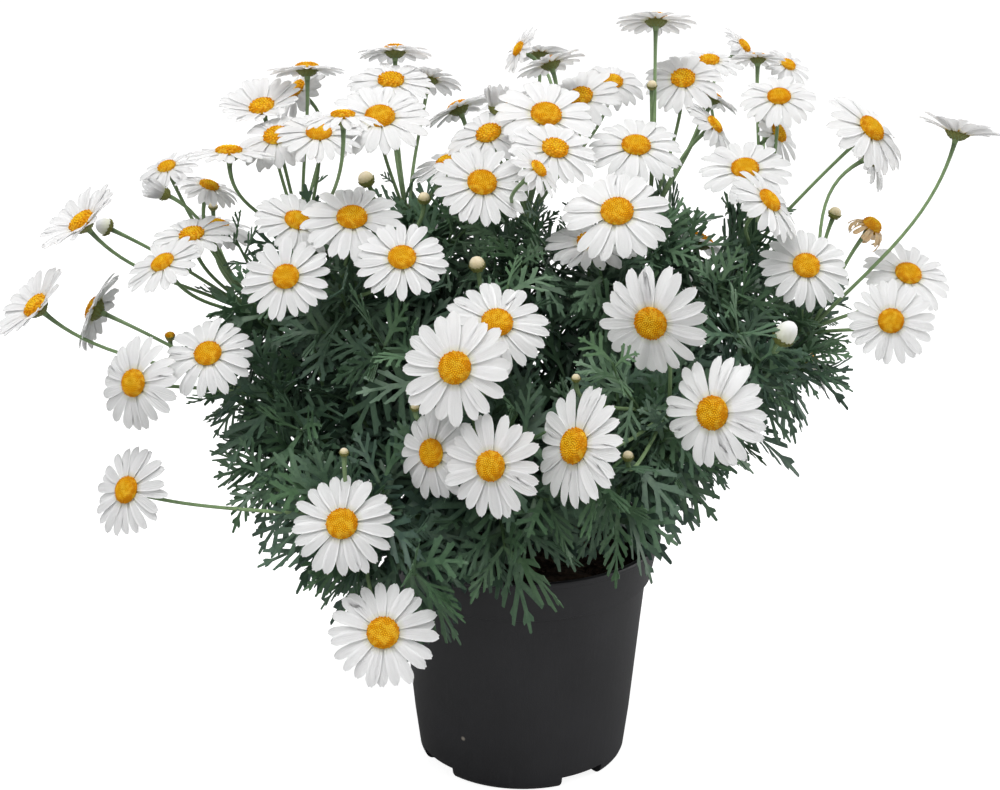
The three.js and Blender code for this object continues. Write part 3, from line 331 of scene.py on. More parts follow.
def all_plans():
    plans = [plan_of(
        spray.name, spray.foot, seen_point(*spray.top), crown=getattr(spray, "crown", 1),
        twigs=[(seen_point(*place), size) for *place, size in spray.twigs],
        shoots=[(seen_point(*place), size, tone) for *place, size, tone in spray.shoots],
        blooms=[seen_head(*bloom) for bloom in spray.blooms],
        buds=[seen_head(*bud) for bud in spray.buds],
    ) for spray in SPRAYS]
    plans += [plan_of(
        name, OUTER_RING, np.array(top, float), twigs=[(np.array(end, float), 1) for end in twigs],
        blooms=[back_bloom(azimuths, k) for k in range(BACK_BLOOMS.count)],
    ) for name, top, azimuths, twigs in BACK_SPRAYS]
    for plan in plans:
        top, direction = plan.top, plan.direction
        heads = sorted([*plan.blooms, *plan.buds], key=lambda head: unit(head.place - top) @ direction)
        for k, head in enumerate(heads):
            share = mixed(NECK.low, NECK.high, (k + 0.5) / len(heads))
            head.root = top + direction * NECK.length * share
    return plans


# Meshes

class Heap:
    """Shapes gathered for one mesh, with three painted values at each corner."""

    def __init__(self):
        self.points, self.faces, self.paint = [], [], []
        self.count = 0

    def add(self, points, faces, *paint):
        """Adds one shape, or as many copies as points has in its first axis."""
        points = np.asarray(points, float).reshape(-1, *np.shape(points)[-2:])
        copies, corners = points.shape[:2]
        starts = self.count + corners * np.arange(copies)
        self.points.append(points.reshape(-1, 3))
        self.faces.append((np.asarray(faces)[None] + starts[:, None, None]).reshape(-1, 3))
        self.paint.append(np.stack([np.broadcast_to(value, (copies, corners)).ravel() for value in paint], axis=1))
        self.count += copies * corners


def new_object(name, data):
    made = bpy.data.objects.new(name, data)
    bpy.context.scene.collection.objects.link(made)
    return made


def dress(mesh, material, crease):
    mesh.materials.append(material)
    mesh.shade_smooth()
    mesh.set_sharp_from_angle(angle=math.radians(crease))


def make_piece(name, heap, material, nodes):
    mesh = bpy.data.meshes.new(name)
    points, faces, paint = [np.concatenate(rows) for rows in (heap.points, heap.faces, heap.paint)]
    mesh.vertices.add(len(points))
    mesh.vertices.foreach_set("co", (points * MM).ravel())
    mesh.loops.add(faces.size)
    mesh.loops.foreach_set("vertex_index", faces.ravel().astype(np.int32))
    mesh.polygons.add(len(faces))
    mesh.polygons.foreach_set("loop_start", np.arange(0, faces.size, 3, dtype=np.int32))
    mesh.update(calc_edges=True)
    mesh.attributes.new("paint", "FLOAT_VECTOR", "POINT").data.foreach_set("vector", paint.ravel())
    dress(mesh, material, CREASE)
    piece = new_object(name, mesh)
    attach(piece, "root")
    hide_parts(*nodes)


def strip(rows, sides, closed=False):
    """Triangles between rings of corners, row after row."""
    faces = []
    for row in range(rows - 1):
        for k in range(sides if closed else sides - 1):
            a, b = row * sides + k, row * sides + (k + 1) % sides
            faces += [(a, b, b + sides), (a, b + sides, a + sides)]
    return faces


def capped(rings, foot, top):
    """A closed shape from its rings and the middles of its ends: its corners, its triangles, and how
    far along it each corner is, from 0 to 1."""
    rows, sides = len(rings), len(rings[0])
    faces = strip(rows, sides, closed=True)
    last, middle = (rows - 1) * sides, rows * sides
    for k in range(sides):
        faces += [((k + 1) % sides, k, middle), (last + k, last + (k + 1) % sides, middle + 1)]
    share = np.append(np.repeat(np.linspace(0, 1, rows), sides), [0, 1])
    return np.concatenate([*rings, [foot, top]]), faces, share


def tube(points, radii, sides):
    """A closed tube along points."""
    along = unit(np.gradient(points, axis=0))
    across = perpendicular(along[0])
    rings = []
    for centre, forward, radius in zip(points, along, radii):
        across = unit(across - forward * (across @ forward))
        rings.append(centre + radius * circle(turns(sides), across, np.cross(forward, across)))
    return capped(rings, points[0], points[-1])


def turned_shape(profile, sides, place, faces):
    """A closed shape turned about the way that a head faces. profile runs from its foot to its top."""
    out, _ = spread(faces, turns(sides))
    rings = [place + level * faces + radius * out for radius, level in profile]
    return capped(rings, place + faces * profile[0][1], place + faces * profile[-1][1])


def closed_sheet(count, triangles, outline):
    """Triangles of a thin closed sheet of twice count corners: its top, its underside and its edge."""
    edge = []
    for a, b in zip(outline, np.roll(outline, -1)):
        edge += [(a, a + count, b + count), (a, b + count, b)]
    return np.concatenate([triangles, triangles[:, ::-1] + count, edge])


# Petals

# Half the petal's width, as a share of its widest, along it.
PETAL_ALONG = [0.0, 0.14, 0.32, 0.5, 0.68, 0.84, 0.95, 1.0]
PETAL_WIDTHS = [0.46, 0.64, 0.85, 0.97, 1.0, 0.94, 0.74, 0.5]
# Half a petal's thickness and how far apart its two layers stand, in millimetres. Its foot, its tip
# and half its width, if there are as many as usual, are shares of the bloom's width.
PETAL = Values(edge=0.13, layer=0.9, foot=0.135, tip=0.525, half=0.0625, usual=20)
# How loosely petals take their places and forms.
LOOSE = Values(angle=0.04, length=0.045, width=0.06, roll=0.09, bow=0.05, layer=0.15, rise=0.02, fall=0.12)


def petal_template(rows, columns):
    """A petal of length 1, as a thin closed sheet with two grooves and a notched tip."""
    along, across = [values.ravel() for values in np.meshgrid(rows, columns, indexing="ij")]
    grid = np.arange(along.size).reshape(len(rows), len(columns))
    outline = np.concatenate([grid[0], grid[1:, -1], grid[-1, -2::-1], grid[-2:0:-1, 0]])
    faces = closed_sheet(along.size, np.array(strip(*grid.shape))[:, ::-1], outline[::-1])
    tip = along - (0.07 * np.abs(across) ** 3 + 0.03 * (np.abs(across) < 0.2)) * along ** 6
    side = across * np.interp(along, PETAL_ALONG, PETAL_WIDTHS)
    groove = -0.34 * (np.abs(np.abs(across) - 0.5) < 0.1)
    return Values(along=np.tile(tip, 2), across=np.tile(across, 2), side=np.tile(side, 2), faces=faces,
                  level=np.concatenate([groove + PETAL.edge, groove - PETAL.edge]))


FINE_PETAL = petal_template([0.0, 0.2, 0.44, 0.68, 0.86, 0.96, 1.0], [-1.0, -0.5, 0.0, 0.5, 1.0])
PLAIN_PETAL = petal_template([0.0, 0.3, 0.62, 0.86, 1.0], [-1.0, -0.5, 0.5, 1.0])


def stand(head, angle, outward, sideways, height):
    """Corners of petals that stand at some angles round a head's axis."""
    out, around = spread(head.faces, angle)
    return (head.place + out * outward[..., None] + around * sideways[..., None]
            + head.faces * height[..., None])


def add_petals(heap, petal, bloom, rng, count, slope, curl, width):
    """The petals of one bloom, in two loose layers. slope and curl are a petal's rise and fall."""
    across = bloom.across

    def pick(loose):
        return rng.normal(0, loose, (count, 1))

    x, y = petal.along, petal.across
    angle = turns(count, 0.5)[:, None] + pick(LOOSE.angle)
    start = PETAL.foot * across
    length = (PETAL.tip * across - start) * (1 + np.clip(pick(LOOSE.length), -0.12, 0.07))
    half = PETAL.half * across * PETAL.usual / count * width * (1 + pick(LOOSE.width))
    roll = pick(LOOSE.roll) * x
    side = petal.side * half
    lift = petal.level * across / 45 + 0.05 * half * y * y
    sideways = side * np.cos(roll) - lift * np.sin(roll) + pick(LOOSE.bow) * length * x * x
    layer = PETAL.layer * (np.arange(count)[:, None] % 2) + rng.uniform(0, LOOSE.layer, (count, 1))
    height = side * np.sin(roll) + lift * np.cos(roll) - 1.0 + layer
    rise = slope + pick(LOOSE.rise)
    fall = curl * (1 + pick(LOOSE.fall))
    height = height + length * (rise * x - fall * x * x)
    outward = start + length * x * np.sqrt(np.clip(1 - (rise - fall * x) ** 2, 0.05, 1))
    points = stand(bloom, angle, outward, sideways, height)
    heap.add(points, petal.faces, x, y, rng.uniform(0, 0.2, (count, 1)))


# Discs

FLORET_SIDES = 4
DISC_SIDES = 18
DISC_RINGS = np.array([1.0, 0.97, 0.85, 0.65, 0.4, 0.2, 0.04])


def add_disc(heap, bloom, florets, tone=0.0, tall=1.0):
    """A domed disc, covered in florets that stand in the two sets of spirals of a daisy."""
    radius = DISC.radius * bloom.across
    height = DISC.height * bloom.across * tall
    place, faces, base = bloom.place, bloom.faces, DISC.foot

    def dome(share):
        return (base + (height - base) * 0.84 * np.sqrt(np.clip(1 - share ** 2.6, 0, 1))
                - 0.12 * height * np.exp(-(share / 0.28) ** 2))

    profile = [(radius * 0.9, base - 1.2)] + [(radius * share, float(dome(share))) for share in DISC_RINGS]
    points, triangles, _ = turned_shape(profile, DISC_SIDES, place, faces)
    heap.add(points, triangles, np.append(np.repeat(np.append(1.0, DISC_RINGS), DISC_SIDES), [1.0, 0.0]), 0, tone)
    k = np.arange(florets)
    share = np.sqrt((k + 0.5) / florets) * 0.985
    out, around = spread(faces, k * GOLDEN_ANGLE)
    steep = (dome(share + 0.02) - dome(share - 0.02)) / (0.04 * radius)
    normal = unit(faces - out * np.clip(steep, -2.2, 0.3)[:, None])
    slant = np.cross(around, normal)
    foot = place + out * (radius * share)[:, None] + faces * dome(share)[:, None]
    size = radius * 0.98 / math.sqrt(florets) * (0.92 + 0.3 * share)

    def ring(width, level, turn):
        across = circle(turns(FLORET_SIDES) + turn, slant[:, None], around[:, None])
        return foot[:, None] + size[:, None, None] * (width * across + level * normal[:, None])

    top = (foot + normal * size[:, None] * (0.7 + 0.3 * (share < 0.55))[:, None])[:, None]
    points = np.concatenate([ring(1.0, -0.5, 0), ring(0.62, 0.55, 0.6), top], axis=1)
    triangles = strip(2, FLORET_SIDES, closed=True)
    triangles += [(FLORET_SIDES + j, FLORET_SIDES + (j + 1) % FLORET_SIDES, 2 * FLORET_SIDES)
                  for j in range(FLORET_SIDES)]
    triangles += [(0, j + 1, j) for j in range(1, FLORET_SIDES - 1)]
    heap.add(points, triangles, share[:, None], [0.0] * FLORET_SIDES + [0.8] * FLORET_SIDES + [1.0], tone)


# Stalks, involucres and buds

SCALE_FACES = [(0, 3, 2), (3, 1, 2), (0, 1, 3), (0, 2, 4), (2, 1, 4), (1, 0, 4)]


def add_scales(heap, head, rows):
    """Overlapping scales round the green cup under a head: rows of (radius, level, size, count)."""
    for row, (radius, level, size, count) in enumerate(rows):
        out, around = spread(head.faces, turns(count, 0.5 * (row % 2)))
        centre = head.place + out * radius + head.faces * level
        lean = unit(out * 0.55 + head.faces * 0.85)
        half = 0.62 * math.pi * radius / count
        corners = [centre - around * half - lean * size * 0.5, centre + around * half - lean * size * 0.5,
                   centre + lean * size, centre + out * 0.45 + lean * size * 0.1, centre - out * 0.6]
        heap.add(np.stack(corners, axis=1), SCALE_FACES, [0.2, 0.2, 0.3, 0.2, 0.2], [0, 0, 0.8, 0, 0], 1.0)


def add_stalk(heap, head, neck, direction):
    """The bare stalk from the spray's neck up to a head: thin, ribbed and a little wavy."""
    down = unit(head.root - neck)
    arriving = mixed(down, -direction, 1 - NECK.turned)
    curve = bowed(neck, -head.faces, head.root, arriving, STALK.slack)
    shares = np.linspace(0, 1, STALK.rings) ** 1.4
    length = np.linalg.norm(head.root - neck)
    radii = mixed(STALK.radius, STALK.neck, np.exp(-shares * length / 7)) + 0.2 * shares ** 3
    points, faces, share = tube(bezier(curve, shares), radii, STALK.sides)
    heap.add(points, faces, 1 - share, 0, 0)
    return curve


def add_head_back(heap, bloom):
    """The olive cup behind a bloom's petals, with its scales."""
    across = bloom.across
    cup = STALK.cup * across
    under = STALK.under + STALK.depth * across * 0.5
    foot = -STALK.under - STALK.depth * across
    profile = [
        (STALK.neck, foot - 0.3), (STALK.neck * 1.25, -under - 0.2), (cup * 0.62, -under + 0.5),
        (cup * 0.94, -under * 0.62), (cup * 1.1, -under * 0.34), (cup * 1.12, -1.1), (cup * 0.8, -0.6)]
    points, faces, share = turned_shape(profile, 16, bloom.place, bloom.faces)
    olive = np.clip(1.6 * share, 0, 1)
    heap.add(points, faces, 0.9 - 0.7 * olive, 0, olive)
    add_scales(heap, bloom, [
        (cup * 0.6, -under + 0.4, cup * 0.26, 9), (cup * 0.87, -under * 0.7, cup * 0.28, 13),
        (cup * 1.06, -under * 0.44, cup * 0.27, 17), (cup * 1.12, -1.6, cup * 0.22, 19)])


# Where a bud's cup ends, as a share of half its length.
BUD_RIM = {"round": 0.0, "golden": 0.25, "shut": -0.32, "opening": -0.35}


def add_bud(green, white, cream, gold, bud, rng):
    """A bud: a scaly olive cup, and above it the tips of its petals, shut, opening or still hidden."""
    radius = bud.across / 2
    reach = radius * bud.long
    kind, rim = bud.kind, BUD_RIM[bud.kind]
    girth = radius * (0.72 if kind == "opening" else 1.0)
    middle = mixed(-1, rim, 0.6) * reach
    profile = [(girth * 0.3, -reach * 0.98), (girth * 0.7, -reach * 0.85), (girth * 0.95, middle),
               (girth, reach * rim), (girth * 0.7, reach * (rim + 0.08))]
    points, triangles, _ = turned_shape(profile, 12, bud.place, bud.faces)
    green.add(points, triangles, 0.2, 0, 1)
    add_scales(green, bud, [(girth * 0.76, -reach * 0.8, radius * 0.3, 8), (girth * 0.95, middle, radius * 0.3, 11),
                            (girth, reach * (rim - 0.1), radius * 0.25, 13)])
    if kind == "golden":
        place, across = bud.place + bud.faces * radius * 0.1, bud.across / (2 * DISC.radius)
        add_disc(gold, changed(bud, place=place, across=across), FLORETS[kind], tall=1.4)
    elif kind == "opening":
        add_brush(white, bud, reach * (rim - 0.1), reach, rng)
    else:
        add_cap(white if kind == "shut" else cream, bud, reach * (rim - 0.05), reach)


def add_cap(heap, bud, low, high):
    """The shut petals of a bud: a dome with a fine groove between each two of them."""
    place, faces = bud.place, bud.faces
    rows, sides, petals, top = 9, 52, 13, 0.985
    share = np.linspace(0, top, rows)[:, None]
    angle = turns(sides)[None]
    groove = np.abs(np.sin((angle + 0.9 * share) * petals / 2))
    width = bud.across / 2 * np.sqrt(1 - share ** 2.3) * (0.91 + 0.09 * groove ** 0.6)
    level = low + (high - low) * share + 0 * angle
    out, _ = spread(faces, angle)
    rings = place + out * width[..., None] + faces * level[..., None]
    points, triangles, _ = capped(rings, place + faces * low, place + faces * high * top)
    along = np.append((share + 0 * angle).ravel() * 0.2 + 0.04, [0.04, 0.24])
    heap.add(points, triangles, along, 0, np.append(0.5 - 0.5 * groove.ravel(), [0, 0]))


def add_brush(heap, bud, low, high, rng):
    """The petals of an opening bud: erect, side by side in rings, and parting at their tips."""
    radius = bud.across / 2
    x, side = PLAIN_PETAL.along[None], PLAIN_PETAL.side[None]
    for ring, scale, count in ((0, 1.0, 13), (1, 0.78, 10), (2, 0.45, 6)):
        angle = turns(count, 0.5 * ring)[:, None] + rng.normal(0, 0.08, (count, 1))
        outward = scale * (0.62 + 0.55 * np.sin(1.8 * x)) + rng.normal(0, 0.07, (count, 1)) * x * x
        length = (high - low) * (1 - 0.05 * ring + rng.uniform(-0.12, 0.1, (count, 1)))
        half = 1.25 * math.pi * radius * scale / count
        inward = PLAIN_PETAL.level[None] * 0.7 - 0.25 * half * (side / half) ** 2
        points = stand(bud, angle, radius * outward + inward, side * half, low + length * x)
        heap.add(points, PLAIN_PETAL.faces, x * 0.5 + 0.05, side, rng.uniform(0, 0.3, (count, 1)))


def add_skirt(heap, bloom, rng):
    """The shrivelled petals of a withered head, folded down round its stalk."""
    across, count = bloom.across, WITHERED.petals

    def pick(loose):
        return rng.normal(0, loose, (count, 1))

    x, side = PLAIN_PETAL.along[None], PLAIN_PETAL.side[None]
    angle = turns(count)[:, None] + pick(0.1)
    curl = rng.uniform(-0.12, 0.2, (count, 1))
    outward = across * (0.27 + 0.22 * np.sin(2.3 * x) + curl * x ** 3)
    fall = across * (0.06 - rng.uniform(0.36, 0.56, (count, 1)) * x ** 1.4 + np.abs(curl) * 0.9 * x ** 4)
    half = across * 0.078 * (1 + pick(0.25))
    turn = pick(0.7) * x
    sideways = side * half * np.cos(turn) + across * pick(0.05) * x * x
    lift = side * half * np.sin(turn) + PLAIN_PETAL.level[None] * 0.9
    points = stand(bloom, angle, outward + lift, sideways, fall)
    heap.add(points, PLAIN_PETAL.faces, x, side, rng.uniform(0, 1, (count, 1)))


# Leaves

# Half the thickness of a leaf, in millimetres, at its rib, in its lobes and at its edge.
LEAF_HALF = Values(rib=0.6, lobe=0.38, edge=0.14)
# One lobe's outline, from the side towards the leaf's foot round its toothed tip, as shares of the
# lobe's length and of half its width.
LOBE = [(0.07, 1.0), (0.5, 0.85), (0.7, 1.9), (0.83, 2.0), (0.8, 0.85), (1.03, 0.7), (1.05, -0.55), (0.8, -0.95),
        (0.17, -0.9)]
PLAIN_LOBE = [(0.08, 1.0), (0.55, 0.85), (0.78, 1.7), (0.84, 0.8), (1.03, 0.6), (1.03, -0.55), (0.22, -0.95)]
LEAF_TIP = [(0.8, 0.026), (0.87, 0.072), (0.91, 0.068), (0.895, 0.026), (0.99, 0.018)]


def leaf_template(spots, lobe_outline, middles, ribs, width, reach):
    """A leaf cut to its rib in pairs of long toothed lobes, as a thin closed sheet of length 1. It is
    thickest at its ribs, and still thick at the middles of its lobes."""
    inner = [(np.array([x, 0.0]), LEAF_HALF.rib) for x in ribs]

    def lobed_side(hand):
        points = [np.array([0.0, 0.02])]
        for k, spot in enumerate(spots):
            angle = math.radians(43 - 5 * k)
            length = reach * (1 - 0.14 * k)
            axis = np.array([math.cos(angle), math.sin(angle)])
            normal = np.array([-axis[1], axis[0]])

            def at(u, v):
                origin = np.array([spot + 0.022 * hand, 0.0])
                return origin + axis * u * length + normal * (v * width - 0.1 * length * u * u)

            points += [at(*corner) for corner in lobe_outline]
            inner.extend((at(share, 0) * (1, hand), LEAF_HALF.lobe) for share in middles)
        return points + [np.array(corner) for corner in LEAF_TIP]

    outline = [point * (1, -1) for point in lobed_side(-1)] + [np.array([1.0, 0.0])] + lobed_side(1)[::-1]
    count = len(outline)
    corners = [tuple(point) for point in outline + [point for point, _ in inner]]
    found = delaunay_2d_cdt(corners, [], [list(range(count))], 1, 1e-6)
    flat = np.array([tuple(point) for point in found[0]])
    assert len(flat) == len(corners)
    half = np.array([LEAF_HALF.edge] * count + [thickness for _, thickness in inner])
    faces = closed_sheet(len(flat), np.array([tuple(face) for face in found[2]]), np.arange(count))
    rib = (half - LEAF_HALF.edge) / (LEAF_HALF.rib - LEAF_HALF.edge)
    return Values(x=np.tile(flat[:, 0], 2), y=np.tile(flat[:, 1], 2), rib=np.tile(rib, 2), faces=faces,
                  level=np.concatenate([half, -half]))


LARGE_LEAF = leaf_template(
    (0.25, 0.41, 0.57), LOBE, (0.4, 0.8), (0.08, 0.2, 0.33, 0.47, 0.62, 0.77, 0.9), width=0.0255, reach=0.37)
SMALL_LEAF = leaf_template(
    (0.3, 0.52), PLAIN_LOBE, (0.4,), (0.1, 0.27, 0.44, 0.62, 0.8, 0.92), width=0.034, reach=0.43)


def leaf_points(leaf, root, axis, azimuth, pitch, length, bend, fold, twist, light):
    """Corners of many leaves that grow from root, turned by azimuth about the axis they grow on, and
    turning their blades to the light."""
    out, _ = spread(axis, azimuth)
    direction = unit(out * np.cos(pitch)[:, None] + axis * np.sin(pitch)[:, None])
    side = unit(np.cross(direction, light))
    normal = np.cross(side, direction)
    azimuth, span, bend, fold, twist = [values[:, None] for values in (azimuth, length, bend, fold, twist)]
    x, y = leaf.x[None], leaf.y[None]
    across, turn = y * span, twist * x
    lift = fold * np.abs(across) + leaf.level[None] + 0.05 * span * np.sin(9 * x + azimuth) * y
    sideways = across * np.cos(turn) - lift * np.sin(turn)
    raised = across * np.sin(turn) + lift * np.cos(turn)
    ahead = span * x * (1 - 0.25 * np.abs(bend) * x)
    return (root[:, None] + direction[:, None] * ahead[..., None] + side[:, None] * sideways[..., None]
            + normal[:, None] * raised[..., None] - UP * (bend * span * x * x)[..., None])


# How far leaves keep from the pot's outside, its rim's inside, the soil and the ground, in millimetres,
# and from a head: in front of it, behind it, and beside it as a share of its width.
CLEAR = Values(pot=1.5, rim=6, soil=1, ground=3, front=12, behind=8, beside=0.5)


def outer_radius(level):
    levels = [0, POT.collar_foot - 1, POT.collar_foot, POT.height - POT.lip_height, POT.height]
    return np.interp(level, levels, [POT.base, POT.step, POT.collar, POT.rim, POT.rim])


def clear_of_pot(points):
    """Whether each leaf stands clear of the pot, its soil and the ground."""
    radius = np.hypot(points[..., 0], points[..., 1])
    level = points[..., 2]
    outside = radius > outer_radius(level) + CLEAR.pot
    inside = (radius < POT.rim - CLEAR.rim) & (level > SOIL.level + SOIL.crown + CLEAR.soil)
    over = level > POT.height + CLEAR.pot
    return np.all((outside | inside | over) & (level > CLEAR.ground), axis=1)


def clear_of_heads(points, heads):
    """Whether each leaf keeps out of a short column in front of and behind each head."""
    good = np.ones(len(points), bool)
    for head in heads:
        away = points - head.place
        level = away @ head.faces
        beside = np.linalg.norm(away - level[..., None] * head.faces, axis=-1)
        within = (beside < CLEAR.beside * head.across) & (level > -CLEAR.behind) & (level < CLEAR.front)
        good &= ~within.any(axis=1)
    return good


# How much leaves turn their blades up, away from the plant's middle and to its front, and how loosely.
LIGHT = Values(up=0.45, out=0.35, front=0.35, loose=0.35)
# How often a leaf that meets something is turned, and by what angle, before it is left out.
TRIES = Values(count=6, turn=1.1, straighter=0.12)
# Leaves along a stem, on its short side shoots, on the longer twigs that reach the plant's outline,
# on the shoots that fill its gaps, round its tip, and on the bare stalks.
MAIN_LEAVES = Values(count=12, first=0.2, length=(52.0, 66.0))
SHOOT = Values(count=11, first=0.22, last=0.95, length=(26.0, 42.0), leaves=7, leaf=(34, 52), radii=(1.2, 0.75))
TWIG = Values(behind=0.2, least=0.22, most=0.9, leaves=14, length=(38.0, 56.0), radii=(1.7, 0.8))
SPRIG = changed(TWIG, behind=0.12, leaves=11, length=(32.0, 48.0), radii=(1.2, 0.7))
TIP_LEAVES = Values(count=8, length=(24.0, 36.0), pitch=(20, 65))
BRACT = Values(share=0.25, length=(8.0, 13.0), pitch=-50)


def leaf_spot(curve, share, azimuth, pitch, length, bend, tone):
    return *aim(curve, share), azimuth, math.radians(pitch), length, bend, tone


def grow_leaves(heap, leaf, spots, heads, rng):
    """Leaves on spots, each with its values. A leaf that meets the pot or a head is turned, and in the
    end left out."""
    root, axis, azimuth, pitch, length, bend, tone = [np.array(values) for values in zip(*spots)]
    count = len(length)
    left = np.arange(count)
    fold = rng.uniform(0.05, 0.4, count)
    twist = rng.normal(0, 0.5, count)
    out = unit(root * (1, 1, 0) + 1e-6)
    light = LIGHT.up * UP + LIGHT.out * out + rng.normal(0, LIGHT.loose, (count, 3))
    light[:, 1] -= LIGHT.front
    for attempt in range(TRIES.count):
        points = leaf_points(leaf, root[left], axis[left], azimuth[left] + attempt * TRIES.turn, pitch[left],
                             length[left], bend[left] * (1 - TRIES.straighter * attempt), fold[left],
                             twist[left], light[left])
        good = clear_of_pot(points) & clear_of_heads(points, heads)
        heap.add(points[good], leaf.faces, leaf.rib, leaf.x, tone[left[good]][:, None])
        left = left[~good]
        if not len(left):
            return


def add_twig(wood, curve, radii, steps):
    shares = np.linspace(0, 1, steps)
    points, faces, along = tube(bezier(curve, shares), mixed(*radii, shares), 5)
    wood.add(points, faces, 0.4 + 0.6 * along, 0, 0)


def grow_stem(plan, leaves, wood, heads, rng):
    """One branch: its woody stem, its side shoots and twigs, and all their leaves."""
    crown, line = plan.crown, plan.curve
    shares = np.linspace(0, 1, STEM.rings)
    path = bezier(line, shares)
    radii = mixed(STEM.foot, STEM.top, shares) * (1 + 0.06 * np.sin(37 * shares))
    points, faces, share = tube(np.vstack([[path[0] - UP * STEM.sunk], path]), np.append(STEM.foot, radii),
                                STEM.sides)
    wood.add(points, faces, share, 0, 0)
    large, small = [], []
    for k in range(MAIN_LEAVES.count):
        share = mixed(MAIN_LEAVES.first, 1.0, k / (MAIN_LEAVES.count - 1))
        length = rng.uniform(*MAIN_LEAVES.length) * (1 if share < 0.75 else 0.8 * crown)
        bend = mixed(0.5, 0.12, share) + rng.normal(0, 0.1)
        large.append(leaf_spot(line, share, k * GOLDEN_ANGLE, mixed(-5, 48, share), length, bend, 0.15 * share ** 3))
    for j in range(SHOOT.count):
        share = mixed(SHOOT.first, SHOOT.last, (j + rng.uniform(-0.2, 0.2)) / (SHOOT.count - 1))
        root, axis = aim(line, share)
        first = perpendicular(axis)
        angle = j * GOLDEN_ANGLE + 1.3
        out = first * math.cos(angle) + np.cross(axis, first) * math.sin(angle)
        rise = rng.uniform(0.5, 0.9)
        direction = unit(out * math.cos(rise) + axis * math.sin(rise) + UP * 0.1)
        length = rng.uniform(*SHOOT.length) * (1 if share < 0.8 else 0.75)
        end = root + direction * length + UP * length * 0.12
        if not clear_of_pot(np.array([[mixed(root, end, 0.6), end]]))[0]:
            continue
        curve = bowed(root, direction, end, unit(direction + UP * 0.6), 0.3)
        add_twig(wood, curve, SHOOT.radii, 5)
        for k in range(SHOOT.leaves):
            along = mixed(0.2, 1.0, k / (SHOOT.leaves - 1))
            length = rng.uniform(*SHOOT.leaf) * mixed(1, 0.8, along) * (1 if share < 0.75 else crown)
            bend = mixed(0.35, 0.1, along) + rng.normal(0, 0.12)
            tone = 0.35 * along * rng.uniform(0, 1)
            small.append(leaf_spot(curve, along, k * GOLDEN_ANGLE + j, mixed(0, 50, along), length, bend, tone))
    offshoots = [(TWIG, end, size, 0.1) for end, size in plan.twigs]
    offshoots += [(SPRIG, end, size, tone) for end, size, tone in plan.shoots]
    for j, (kind, end, size, tone) in enumerate(offshoots):
        near = np.argmin(np.linalg.norm(path - end, axis=1)) / (len(shares) - 1)
        root, axis = aim(line, float(np.clip(near - kind.behind, kind.least, kind.most)))
        direction = unit(end - root)
        curve = bowed(root, unit(axis + 0.8 * direction), end, unit(direction + UP * 0.15), 0.36)
        add_twig(wood, curve, kind.radii, 9)
        for k in range(kind.leaves):
            along = mixed(0.25, 1.0, k / (kind.leaves - 1)) ** 0.8
            length = rng.uniform(*kind.length) * mixed(1, 0.8, along ** 3) * size
            bend = mixed(0.4, 0.15, along) + rng.normal(0, 0.12)
            spots = large if k % 3 == 0 and kind is TWIG else small
            spots.append(leaf_spot(curve, along, k * GOLDEN_ANGLE + j, mixed(0, 52, along ** 2), length, bend,
                                   tone + 0.25 * along ** 4))
    axis = plan.direction
    for k in range(TIP_LEAVES.count):
        pitch = math.radians(rng.uniform(*TIP_LEAVES.pitch))
        length = rng.uniform(*TIP_LEAVES.length) * crown
        small.append((plan.top - axis * 2, axis, k * GOLDEN_ANGLE, pitch, length, 0.05, 0.3))
    for curve in plan.stalks:
        if rng.uniform() < BRACT.share:
            small.append(leaf_spot(curve, rng.uniform(0.5, 0.85), rng.uniform(0, 6.28), BRACT.pitch,
                                   rng.uniform(*BRACT.length), 0.1, 0.2))
    grow_leaves(leaves, LARGE_LEAF, large, heads, rng)
    grow_leaves(leaves, SMALL_LEAF, small, heads, rng)


# Materials

def full(colour):
    """A colour with its opacity. A single number is a grey, and another node's output stays as it is."""
    if isinstance(colour, (int, float)):
        colour = (colour,) * 3
    return (*colour, 1) if isinstance(colour, tuple) else colour


class Nodes:
    """The shader nodes of a material or of the world. Their inputs are constants or other nodes' outputs."""

    def __init__(self, owner):
        owner.use_nodes = True
        self.owner = owner
        self.tree = owner.node_tree

    def connect(self, socket, value):
        if isinstance(value, bpy.types.NodeSocket):
            self.tree.links.new(value, socket)
        else:
            socket.default_value = value

    def node(self, kind, inputs=(), **settings):
        made = self.tree.nodes.new("ShaderNode" + kind)
        for name, value in settings.items():
            setattr(made, name, value)
        for key, value in dict(inputs).items():
            self.connect(made.inputs[key], value)
        return made

    def maths(self, operation, *values, clamp=False):
        return self.node("Math", dict(enumerate(values)), operation=operation, use_clamp=clamp).outputs[0]

    def seen_by_camera(self):
        return self.node("LightPath").outputs["Is Camera Ray"]


